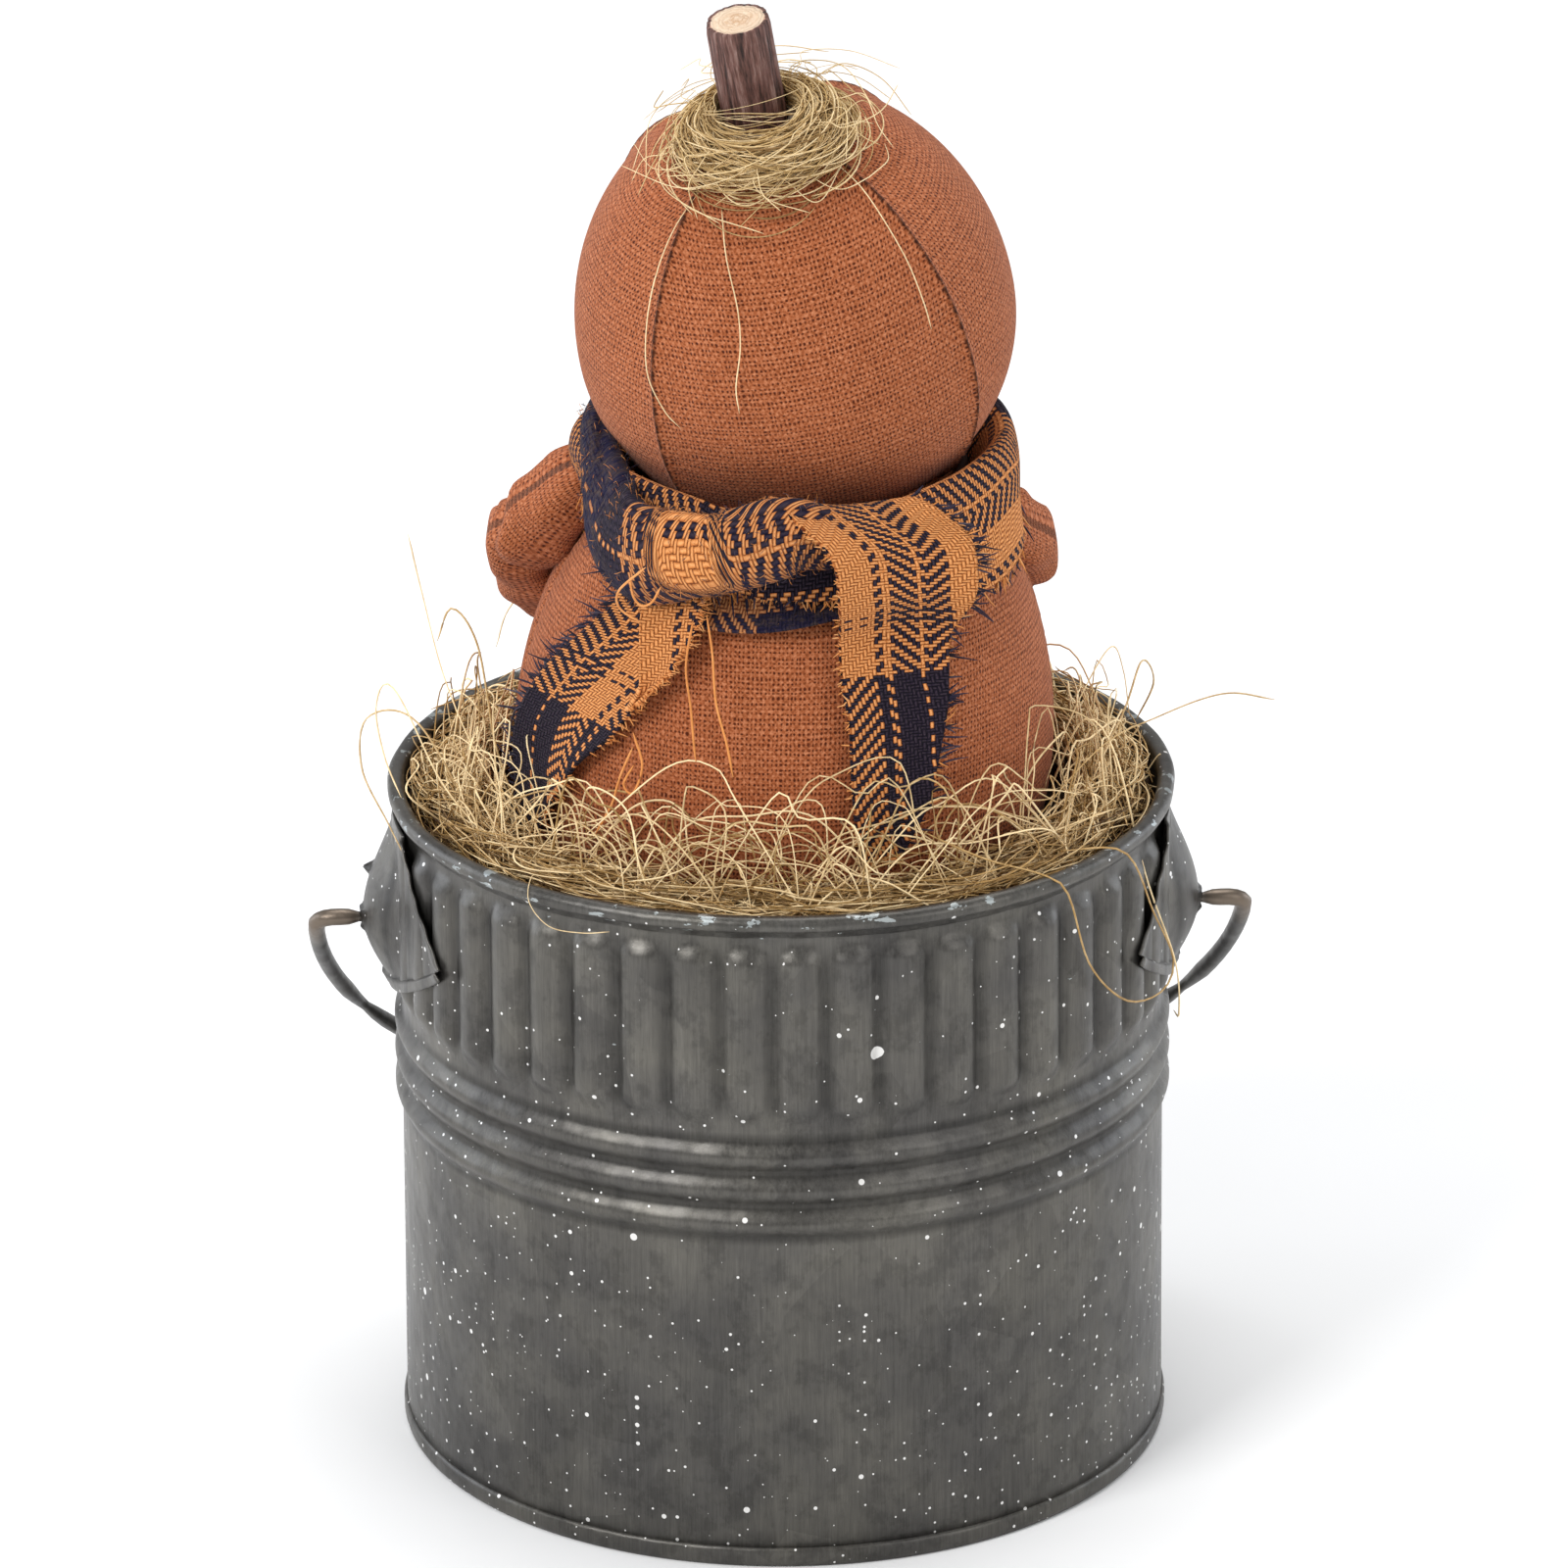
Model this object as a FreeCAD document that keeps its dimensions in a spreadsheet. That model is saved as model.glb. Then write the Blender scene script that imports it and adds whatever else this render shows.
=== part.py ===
"""Stuffed harvest figure in a galvanised pail: a parametric document, in millimetres.

Origin at the middle of the pail's foot, +Z up, -Y towards the figure's front, +X to its left hand.
"""

import FreeCAD, Part

import math
import os
import re

import Sketcher

SIZES = {
    # Pail: a rolled sheet wall with a hemmed rim, seamed onto a bottom pan
    "sheet_gauge": 0.5,
    "pail_height": 89.9,
    "wall_radius_foot": 50.0,
    "wall_radius_rim": 49.4,
    "wall_start": 0.6,
    "hem_radius": 1.2,
    "hem_offset": 0.2,
    "bead_first": 47.9,
    "bead_pitch": 4.55,
    "bead_half_height": 1.7,
    "bead_arc": 2.2,
    "flute_count": 46,
    "flute_foot": 61.0,
    "flute_length": 24.0,
    "flute_half_width": 2.9,
    "flute_arc": 5.7,
    "flute_sink": 0.35,
    "pan_floor": 2.3,
    "pan_gap": 0.15,
    "foot_height": 2.2,
    # Ears that carry the bail
    "ear_gap": 0.7,
    "ear_foot": 61.6,
    "ear_corner": 72.1,
    "ear_head": 86.2,
    "ear_half_angle": 33.0,
    "ear_foot_half_width": 8.0,
    "ear_corner_half_width": 26.6,
    "ear_head_half_width": 14.0,
    "ear_overcut": 1.0,
    "pivot_height": 70.6,
    "dome_reach": 54.3,
    "dome_radius": 11.2,
    "pin_radius": 0.65,
    "pin_clearance": 0.07,
    # Wire bail
    "wire_radius": 1.1,
    "bail_half_width": 60.5,
    "bail_depth": 71.4,
    "bail_corner": 2.4,
    "bail_side_arc": 83.0,
    "bail_start": 55.6,
    "bail_hang": 44.0,
    "pin_head_radius": 1.15,
    "pin_head_start": 52.4,
    "pin_head_length": 0.8,
    "pin_neck_end": 55.0,
    "pin_overlap": 0.3,
    # Filling of the pail
    "foam_radius": 46.0,
    "foam_foot": 2.9,
    "foam_height": 52.1,
    "dab_radius": 4.0,
    "dab_height": 1.2,
    "dab_circle": 11.0,
    "straw_radius": 48.3,
    "straw_top": 87.5,
    "straw_foot": 55.3,
    "straw_bevel": 3.0,
    "straw_gap": 0.6,
    "straw_upright": 12.0,
    "straw_inner_foot": 27.4,
    # Body: a barrel turned from one arc, on a flat base
    "figure_shift": 1.1,
    "cloth": 0.45,
    "cloth_gap": 0.1,
    "body_radius": 35.4,
    "body_arc": 55.0,
    "body_middle": 95.0,
    "body_foot": 56.3,
    "body_top": 131.6,
    "body_lip": 1.0,
    "disc_margin": 0.2,
    "thread_radius": 0.6,
    "neck_radius": 22.4,
    "neck_height": 132.3,
    # Head: four gores, taller above its widest ring than below it, drawn in to a dimple under the stem
    "head_shift": 2.3,
    "head_height": 151.3,
    "head_radius": 28.5,
    "head_upper_arc": 32.5,
    "head_lower_arc": 24.3,
    "dimple_radius": 6.5,
    "dimple_foot": 30.2,
    "head_lean_front": 16.0,
    "head_lean_right": 10.0,
    "seam_angle": 50.0,
    "dish_radius": 29.6,
    "dish_lip": 2.0,
    # Twig stem and its nest
    "stem_radius": 3.9,
    "bark": 0.6,
    "stem_length": 14.0,
    "stem_lift": 0.85,
    "stem_lean_front": 13.0,
    "stem_lean_right": 7.0,
    "nest_circle": 8.8,
    "nest_radius": 3.1,
    "nest_lift": 3.7,
    "glue_radius": 5.3,
    "glue_height": 1.3,
    # Arms, folded back from the shoulders
    "arm_half_thick": 4.0,
    "arm_half_tall": 6.5,
    "hand_half_tall": 4.6,
    # Scarf, one torn strip tied at the front
    "collar_top_radius": 27.6,
    "collar_top": 137.0,
    "collar_foot_radius": 30.8,
    "collar_foot": 125.5,
    "collar_half_thick": 1.0,
    "collar_tip": 4.0,
    "collar_gap_angle": 56.0,
    "knot_width": 21.0,
    "knot_depth": 8.0,
    "knot_tall": 12.0,
    "knot_round": 3.2,
    "knot_circle": 33.2,
    "knot_height": 127.6,
    "knot_turn": 26.0,
    "tail_lift": 1.7,
    "tail_thick": 1.2,
}

doc = FreeCAD.newDocument("HarvestFigure")
sheet = doc.addObject("Spreadsheet::Sheet", "Sizes")
for row, (alias, number) in enumerate(SIZES.items(), start=1):
    sheet.set(f"A{row}", alias)
    sheet.set(f"B{row}", str(number))
    sheet.setAlias(f"B{row}", alias)
doc.recompute()

parts = []


def value(expression):
    """The number that an expression of sheet aliases gives."""
    return float(sheet.evalExpression(expression))


def bind(thing, prop, expression):
    """Bind a property to an expression of sheet aliases."""
    linked = re.sub(
        "[a-z_]+",
        lambda word: f"Sizes.{word[0]}" if word[0] in SIZES else word[0],
        expression,
    )
    thing.setExpression(prop, linked)


def keep(thing, label, placement=None):
    """Name a finished sub-part, place it and list it for export."""
    thing.Label = label
    if placement is not None:
        thing.Placement = placement
    parts.append(thing)
    return thing


def new_body(name):
    return doc.addObject("PartDesign::Body", name + "_body")


def plane(body, role):
    return next(f for f in body.Origin.OriginFeatures if f.Role == role)


def new_sketch(body, name, role, offset=None):
    """A sketch on one of the body's own origin planes; offset moves it along the plane's normal."""
    sketch = body.newObject("Sketcher::SketchObject", name)
    sketch.AttachmentSupport = [(plane(body, role), "")]
    sketch.MapMode = "FlatFace"
    if offset is not None:
        bind(sketch, "AttachmentOffset.Base.z", offset)
    return sketch


def pin_point(sketch, edge, end, corner):
    """Fix one end of an edge at a corner given as two expressions."""
    for kind, expression in zip(("DistanceX", "DistanceY"), corner):
        index = sketch.addConstraint(
            Sketcher.Constraint(kind, -1, 1, edge, end, value(expression))
        )
        bind(sketch, f"Constraints[{index}]", expression)


def outline(sketch, corners, arcs=None):
    """Draw a closed outline of lines and arcs.

    corners are pairs of expressions. arcs maps an edge's number to a radius expression, and the arc bulges
    to the right of the way along the outline, which is outwards on one drawn anticlockwise. A radius
    with a leading minus bulges the other way.
    """
    arcs = arcs or {}
    points = [FreeCAD.Vector(value(x), value(y), 0) for x, y in corners]
    ends = []
    for i, start in enumerate(points):
        stop = points[(i + 1) % len(points)]
        if i not in arcs:
            sketch.addGeometry(Part.LineSegment(start, stop))
            ends.append((1, 2))
            continue
        inward = arcs[i].startswith("-")
        radius = value(arcs[i].lstrip("-"))
        chord = stop - start
        left = FreeCAD.Vector(-chord.y, chord.x, 0).normalize()
        reach = math.sqrt(radius**2 - chord.Length**2 / 4)
        centre = (start + stop) * 0.5 + left * (-reach if inward else reach)
        first, last = (stop, start) if inward else (start, stop)
        begin = math.atan2(first.y - centre.y, first.x - centre.x)
        finish = math.atan2(last.y - centre.y, last.x - centre.x)
        circle = Part.Circle(centre, FreeCAD.Vector(0, 0, 1), radius)
        sketch.addGeometry(Part.ArcOfCircle(circle, begin, finish))
        ends.append((2, 1) if inward else (1, 2))
    for i in range(len(points)):
        after = (i + 1) % len(points)
        sketch.addConstraint(
            Sketcher.Constraint("Coincident", i, ends[i][1], after, ends[after][0])
        )
        pin_point(sketch, i, ends[i][0], corners[i])
        if i in arcs:
            radius = arcs[i].lstrip("-")
            index = sketch.addConstraint(Sketcher.Constraint("Radius", i, value(radius)))
            bind(sketch, f"Constraints[{index}]", radius)


def turned(body, name, corners, arcs=None, angle=360.0):
    """Revolve an outline in the XZ plane about Z."""
    sketch = new_sketch(body, name + "_section", "XZ_Plane")
    outline(sketch, corners, arcs)
    turn = body.newObject("PartDesign::Revolution", name)
    turn.Profile = sketch
    turn.ReferenceAxis = (sketch, ["V_Axis"])
    turn.Angle = angle
    return turn


def turned_part(name, corners, arcs=None, placement=None, angle=360.0):
    """A sub-part that is one revolved outline."""
    body = new_body(name)
    turned(body, name + "_turn", corners, arcs, angle)
    return keep(body, name, placement)


def move(x=0.0, y=0.0, z=0.0, rotation=None):
    return FreeCAD.Placement(FreeCAD.Vector(x, y, z), rotation or FreeCAD.Rotation())


def about_z(degrees):
    return FreeCAD.Rotation(FreeCAD.Vector(0, 0, 1), degrees)


def leaning(front, right):
    """Tip +Z towards the front by the first angle and to the figure's right by the second."""
    tip_front = FreeCAD.Rotation(FreeCAD.Vector(1, 0, 0), front)
    tip_right = FreeCAD.Rotation(FreeCAD.Vector(0, 1, 0), -right)
    return tip_right * tip_front


# ---------------------------------------------------------------- pail


def wall_radius(height):
    """The wall's outer radius at a height: it narrows evenly from foot to rim."""
    return (
        "(wall_radius_foot + (wall_radius_rim - wall_radius_foot)"
        f" * ({height}) / pail_height)"
    )


def make_pail_wall():
    body = new_body("bucket_wall")
    top = "(pail_height - hem_radius)"
    corners = [
        (wall_radius("wall_start") + " - sheet_gauge", "wall_start"),
        (wall_radius("wall_start"), "wall_start"),
    ]
    arcs = {}
    for bead in range(3):
        middle = f"bead_first + {bead} * bead_pitch"
        for side in ("-", "+"):
            height = f"{middle} {side} bead_half_height"
            corners.append((wall_radius(height), height))
        arcs[len(corners) - 2] = "bead_arc"
    corners.append((wall_radius(top), top))
    corners.append((wall_radius(top) + " - sheet_gauge", top))
    turned(body, "wall", corners, arcs)

    hem = body.newObject("PartDesign::AdditiveTorus", "hem")
    bind(hem, "Radius1", wall_radius(top) + " + hem_offset")
    bind(hem, "Radius2", "hem_radius")
    hem.AttachmentSupport = [(plane(body, "XY_Plane"), "")]
    hem.MapMode = "FlatFace"
    bind(hem, "AttachmentOffset.Base.z", top)

    sketch = new_sketch(body, "flute_section", "XY_Plane", "flute_foot")
    root = wall_radius("flute_foot + flute_length / 2") + " - flute_sink"
    outline(
        sketch,
        [(root, "-flute_half_width"), (root, "flute_half_width")],
        {0: "flute_arc"},
    )
    flute = body.newObject("PartDesign::Pad", "flute")
    flute.Profile = sketch
    bind(flute, "Length", "flute_length")
    doc.recompute()
    ring = body.newObject("PartDesign::PolarPattern", "flutes")
    ring.Originals = [flute]
    ring.Axis = (sketch, ["N_Axis"])
    ring.Angle = 360.0
    bind(ring, "Occurrences", "flute_count")
    body.Tip = ring
    return keep(body, "bucket_wall")


def make_pail_bottom():
    """A pan whose rolled edge clasps the wall's lower end and makes the foot ring."""
    inner = "wall_radius_foot - sheet_gauge - pan_gap"
    outer = "wall_radius_foot + pan_gap"
    return turned_part(
        "bucket_bottom",
        [
            ("0", "pan_floor"),
            (inner + " - sheet_gauge", "pan_floor"),
            (inner + " - sheet_gauge", "0"),
            (outer + " + sheet_gauge", "0"),
            (outer + " + sheet_gauge", "foot_height"),
            (outer, "foot_height"),
            (outer, "sheet_gauge"),
            (inner, "sheet_gauge"),
            (inner, "pan_floor + sheet_gauge"),
            ("0", "pan_floor + sheet_gauge"),
        ],
    )


def draw_loop(sketch, corners, first):
    """Draw one closed loop of lines whose first edge has the given number in the sketch."""
    points = [FreeCAD.Vector(value(x), value(y), 0) for x, y in corners]
    count = len(points)
    for i, start in enumerate(points):
        sketch.addGeometry(Part.LineSegment(start, points[(i + 1) % count]))
    for i in range(count):
        after = first + (i + 1) % count
        sketch.addConstraint(Sketcher.Constraint("Coincident", first + i, 2, after, 1))
        pin_point(sketch, first + i, 1, corners[i])


def primitive(body, kind, name, height, sizes, along_x=None):
    """A PartDesign primitive on the pail's axis at a height, or along X from a given start."""
    thing = body.newObject("PartDesign::" + kind, name)
    for prop, expression in sizes.items():
        bind(thing, prop, expression)
    if along_x is None:
        thing.AttachmentSupport = [(plane(body, "XY_Plane"), "")]
        bind(thing, "AttachmentOffset.Base.z", height)
    else:
        thing.AttachmentSupport = [(plane(body, "YZ_Plane"), "")]
        bind(thing, "AttachmentOffset.Base.y", height)
        bind(thing, "AttachmentOffset.Base.z", along_x)
    thing.MapMode = "FlatFace"
    return thing


def make_ear(name, side_angle):
    """A shield-shaped plate bent round the wall under the hem, with a hollow dome for the bail's pin."""
    body = new_body(name)
    inner = "(wall_radius_rim + ear_gap)"
    outer = "(wall_radius_rim + ear_gap + sheet_gauge)"
    plate = turned(
        body,
        name + "_plate",
        [(inner, "ear_foot"), (outer, "ear_foot"), (outer, "ear_head"), (inner, "ear_head")],
    )
    plate.Midplane = True
    bind(plate, "Angle", "2 * ear_half_angle")
    doc.recompute()

    sketch = new_sketch(body, name + "_taper", "YZ_Plane")
    far = "2 * ear_corner_half_width"
    corners = [
        ("ear_foot_half_width", "ear_foot - ear_overcut"),
        (far, "ear_foot - ear_overcut"),
        (far, "ear_head + ear_overcut"),
        ("ear_head_half_width", "ear_head + ear_overcut"),
        ("ear_corner_half_width", "ear_corner"),
    ]
    draw_loop(sketch, corners, 0)
    mirrored = [("-" + across, height) for across, height in corners]
    draw_loop(sketch, mirrored[::-1], len(corners))
    taper = body.newObject("PartDesign::Pocket", name + "_sides")
    taper.Profile = sketch
    taper.Type = "ThroughAll"
    taper.Midplane = True
    doc.recompute()

    centre = "dome_reach - dome_radius"
    primitive(body, "AdditiveSphere", name + "_dome", "pivot_height", {"Radius": "dome_radius"}, centre)
    primitive(
        body,
        "SubtractiveCylinder",
        name + "_bore",
        "0",
        {"Radius": inner, "Height": "pail_height"},
    )
    primitive(
        body,
        "SubtractiveSphere",
        name + "_hollow",
        "pivot_height",
        {"Radius": "dome_radius - sheet_gauge"},
        centre,
    )
    primitive(
        body,
        "SubtractiveCylinder",
        name + "_pin_hole",
        "pivot_height",
        {"Radius": "pin_radius + pin_clearance", "Height": "2 * dome_radius"},
        centre,
    )
    return keep(body, name, move(rotation=about_z(side_angle)))


def make_bail():
    """An arch of wire with necked ends that turn in the ears, drawn in its own plane with +Y outwards."""
    body = new_body("bail_wire")
    half, depth = value("bail_half_width"), value("bail_depth")
    corner, side = value("bail_corner"), value("bail_side_arc")
    start = value("bail_start")
    rise = depth - corner
    crown = (side**2 - (side - half) ** 2 - rise**2) / (2 * (side - rise))
    side_centre = FreeCAD.Vector(side - half, corner, 0)
    crown_centre = FreeCAD.Vector(0, depth - crown, 0)
    joint = side_centre + (crown_centre - side_centre).normalize() * side
    up = FreeCAD.Vector(0, 0, 1)

    def arc(centre, radius, first, last):
        begin = math.atan2(first.y - centre.y, first.x - centre.x)
        finish = math.atan2(last.y - centre.y, last.x - centre.x)
        return Part.ArcOfCircle(Part.Circle(centre, up, radius), begin, finish)

    def mirrored(point):
        return FreeCAD.Vector(-point.x, point.y, 0)

    left_tip = FreeCAD.Vector(-start, 0, 0)
    left_bend = FreeCAD.Vector(corner - half, 0, 0)
    left_side = FreeCAD.Vector(-half, corner, 0)
    bend_centre = FreeCAD.Vector(corner - half, corner, 0)
    path = new_sketch(body, "bail_path", "XY_Plane")
    path.addGeometry(Part.LineSegment(left_tip, left_bend))
    path.addGeometry(arc(bend_centre, corner, left_side, left_bend))
    path.addGeometry(arc(side_centre, side, joint, left_side))
    path.addGeometry(arc(crown_centre, crown, mirrored(joint), joint))
    path.addGeometry(arc(mirrored(side_centre), side, mirrored(left_side), mirrored(joint)))
    path.addGeometry(arc(mirrored(bend_centre), corner, mirrored(left_bend), mirrored(left_side)))
    path.addGeometry(Part.LineSegment(mirrored(left_bend), mirrored(left_tip)))
    for first, first_end, second, second_end in (
        (0, 2, 1, 2),
        (1, 1, 2, 2),
        (2, 1, 3, 2),
        (3, 1, 4, 2),
        (4, 1, 5, 2),
        (5, 1, 6, 1),
    ):
        path.addConstraint(
            Sketcher.Constraint("Tangent", first, first_end, second, second_end)
        )
    path.addConstraint(Sketcher.Constraint("PointOnObject", 0, 1, -1))
    path.addConstraint(Sketcher.Constraint("PointOnObject", 0, 2, -1))
    path.addConstraint(Sketcher.Constraint("PointOnObject", 6, 2, -1))
    path.addConstraint(Sketcher.Constraint("PointOnObject", 3, 3, -2))
    path.addConstraint(Sketcher.Constraint("Equal", 1, 5))
    path.addConstraint(Sketcher.Constraint("Equal", 2, 4))
    driven = (
        (Sketcher.Constraint("DistanceX", 0, 1, 6, 2, 2 * start), "2 * bail_start"),
        (Sketcher.Constraint("DistanceX", 0, 2, -1, 1, half - corner), "bail_half_width - bail_corner"),
        (Sketcher.Constraint("DistanceX", -1, 1, 6, 1, half - corner), "bail_half_width - bail_corner"),
        (Sketcher.Constraint("Radius", 1, corner), "bail_corner"),
        (Sketcher.Constraint("Radius", 2, side), "bail_side_arc"),
    )
    for constraint, expression in driven:
        index = path.addConstraint(constraint)
        bind(path, f"Constraints[{index}]", expression)
    rim = path.addConstraint(Sketcher.Constraint("Radius", 3, crown))
    bind(
        path,
        f"Constraints[{rim}]",
        "(bail_side_arc^2 - (bail_side_arc - bail_half_width)^2 - (bail_depth - bail_corner)^2)"
        " / (2 * (bail_side_arc - bail_depth + bail_corner))",
    )

    section = new_sketch(body, "bail_section", "YZ_Plane", "-bail_start")
    section.addGeometry(Part.Circle(FreeCAD.Vector(), up, value("wire_radius")))
    section.addConstraint(Sketcher.Constraint("Coincident", 0, 3, -1, 1))
    index = section.addConstraint(Sketcher.Constraint("Radius", 0, value("wire_radius")))
    bind(section, f"Constraints[{index}]", "wire_radius")
    wire = body.newObject("PartDesign::AdditivePipe", "arch")
    wire.Profile = section
    wire.Spine = (path, [])
    doc.recompute()

    pin = new_sketch(body, "pin_outline", "XY_Plane")
    head_end = "pin_head_start + pin_head_length"
    outline(
        pin,
        [
            ("pin_head_start", "0"),
            ("bail_start + pin_overlap", "0"),
            ("bail_start + pin_overlap", "wire_radius"),
            ("bail_start", "wire_radius"),
            ("pin_neck_end", "pin_radius"),
            (head_end, "pin_radius"),
            (head_end, "pin_head_radius"),
            ("pin_head_start", "pin_head_radius"),
        ],
    )
    neck = body.newObject("PartDesign::Revolution", "pin")
    neck.Profile = pin
    neck.ReferenceAxis = (pin, ["H_Axis"])
    neck.Angle = 360.0
    doc.recompute()
    pair = body.newObject("PartDesign::Mirrored", "pins")
    pair.Originals = [neck]
    pair.MirrorPlane = (plane(body, "YZ_Plane"), [""])
    body.Tip = pair
    hang = FreeCAD.Rotation(FreeCAD.Vector(1, 0, 0), -value("bail_hang"))
    return keep(body, "bail_wire", move(z=value("pivot_height"), rotation=hang))


# ---------------------------------------------------------------- filling


def make_filling():
    foam = doc.addObject("Part::Cylinder", "foam")
    bind(foam, "Radius", "foam_radius")
    bind(foam, "Height", "foam_height")
    keep(foam, "foam_block", move(z=value("foam_foot")))

    dabs = []
    for i in range(3):
        angle = math.radians(90 + 120 * i)
        dab = doc.addObject("Part::Cylinder", f"dab_{i}")
        bind(dab, "Radius", "dab_radius")
        bind(dab, "Height", "dab_height")
        circle = value("dab_circle")
        dab.Placement = move(
            value("figure_shift") + circle * math.cos(angle),
            circle * math.sin(angle),
            value("foam_foot + foam_height"),
        )
        dabs.append(dab)
    group = doc.addObject("Part::Compound", "dabs")
    group.Links = dabs
    keep(group, "base_glue_dabs")

    beside_body = "body_radius + figure_shift + straw_gap"
    turned_part(
        "straw_bed",
        [
            ("straw_inner_foot", "straw_foot"),
            ("straw_radius - straw_bevel", "straw_foot"),
            ("straw_radius", "straw_foot + straw_bevel"),
            ("straw_radius", "straw_top - straw_bevel"),
            ("straw_radius - straw_bevel", "straw_top"),
            (beside_body, "straw_top"),
            (beside_body, "straw_top - straw_upright"),
        ],
    )


# ---------------------------------------------------------------- body


def barrel(height, inset="0"):
    """The body's radius at a height, on an arc that lies inset below its surface."""
    return (
        f"(body_radius - body_arc + sqrt((body_arc - ({inset}))^2"
        f" - (({height}) - body_middle)^2))"
    )


def make_body():
    place = move(x=value("figure_shift"))
    foot = "body_foot + cloth"
    inner = "cloth + cloth_gap"
    lip = "body_top - body_lip"
    dish_edge = barrel(lip, inner) + " - dish_lip"
    turned_part(
        "body_stuffing",
        [
            ("0", foot + " + cloth_gap"),
            (barrel(foot + " + cloth_gap", inner), foot + " + cloth_gap"),
            (barrel(lip, inner), lip),
            (dish_edge, f"head_height - sqrt(dish_radius^2 - ({dish_edge})^2)"),
            ("0", "head_height - dish_radius"),
        ],
        {1: "body_arc - (cloth + cloth_gap)", 3: "-dish_radius"},
        place,
    )
    panel = [
        (barrel(foot, "cloth"), foot),
        (barrel(foot), foot),
        (barrel("body_top"), "body_top"),
        (barrel("body_top", "cloth"), "body_top"),
    ]
    curves = {1: "body_arc", 3: "-body_arc - cloth"}
    for name, turn in (("body_front_panel", 180), ("body_back_panel", 0)):
        half_turn = move(x=value("figure_shift"), rotation=about_z(turn))
        turned_part(name, panel, curves, half_turn, 180.0)

    disc = doc.addObject("Part::Cylinder", "disc")
    bind(disc, "Radius", barrel(foot) + " - disc_margin")
    bind(disc, "Height", "cloth")
    keep(disc, "body_base_disc", move(x=value("figure_shift"), z=value("body_foot")))

    thread = doc.addObject("Part::Torus", "thread")
    bind(thread, "Radius1", "neck_radius")
    bind(thread, "Radius2", "thread_radius")
    keep(thread, "neck_thread", move(x=value("figure_shift"), z=value("neck_height")))


# ---------------------------------------------------------------- head and stem


def head_place(turn=0.0):
    lean = leaning(value("head_lean_front"), value("head_lean_right"))
    return move(value("head_shift"), 0, value("head_height"), lean * about_z(turn))


def head_side(inset):
    """The head's outline from its lower pole to its dimple, inset below the surface, and its two arcs.

    Each arc is centred level with the widest ring, off the axis by the difference of the radii.
    """
    lower = f"(head_lower_arc - {inset})"
    upper = f"(head_upper_arc - {inset})"
    dimple_edge = f"sqrt({upper}^2 - (head_upper_arc - head_radius + dimple_radius)^2)"
    points = [
        ("0", f"-{lower}"),
        ("head_radius - head_lower_arc", f"-{lower}"),
        (f"head_radius - {inset}", "0"),
        ("dimple_radius", dimple_edge),
        ("0", f"dimple_foot - {inset}"),
    ]
    return points, lower, upper


def make_head():
    """Two arcs turned about the leaning axis, with a small flat below and a shallow dimple above."""
    fill, lower, upper = head_side("(cloth + cloth_gap)")
    turned_part("head_stuffing", fill, {1: lower, 2: upper}, head_place())
    outside, lower, upper = head_side("0")
    inside, inner_lower, inner_upper = head_side("cloth")
    curves = {1: lower, 2: upper, 6: f"-{inner_upper}", 7: f"-{inner_lower}"}
    for i, side in enumerate(("left", "back", "right", "front")):
        turned_part(
            f"head_gore_{side}",
            outside + inside[::-1],
            curves,
            head_place(value("seam_angle") - 90 + 90 * i),
            90.0,
        )


def stem_place(lift):
    """On the head's dimple, raised by lift along the stem's own lean."""
    lean = leaning(value("stem_lean_front"), value("stem_lean_right"))
    foot = head_place().multVec(FreeCAD.Vector(0, 0, value("dimple_foot")))
    place = FreeCAD.Placement(foot, lean)
    place.Base = place.multVec(FreeCAD.Vector(0, 0, lift))
    return place


def make_stem():
    wood = doc.addObject("Part::Cylinder", "wood")
    bind(wood, "Radius", "stem_radius - bark")
    bind(wood, "Height", "stem_length")
    keep(wood, "stem_wood", stem_place(value("stem_lift")))

    rind = doc.addObject("Part::Cylinder", "rind")
    bind(rind, "Radius", "stem_radius")
    bind(rind, "Height", "stem_length")
    hollow = doc.addObject("Part::Cylinder", "rind_hollow")
    bind(hollow, "Radius", "stem_radius - bark")
    bind(hollow, "Height", "stem_length")
    sleeve = doc.addObject("Part::Cut", "sleeve")
    sleeve.Base = rind
    sleeve.Tool = hollow
    keep(sleeve, "stem_bark", stem_place(value("stem_lift")))

    turned_part(
        "stem_glue",
        [
            ("stem_radius + 0.1", "0"),
            ("glue_radius", "0"),
            ("stem_radius + 0.5", "glue_height"),
            ("stem_radius + 0.1", "glue_height"),
        ],
        None,
        stem_place(value("stem_lift")),
    )
    nest = doc.addObject("Part::Torus", "nest")
    bind(nest, "Radius1", "nest_circle")
    bind(nest, "Radius2", "nest_radius")
    keep(nest, "stem_nest", stem_place(value("nest_lift")))


# ---------------------------------------------------------------- arms and scarf


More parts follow.
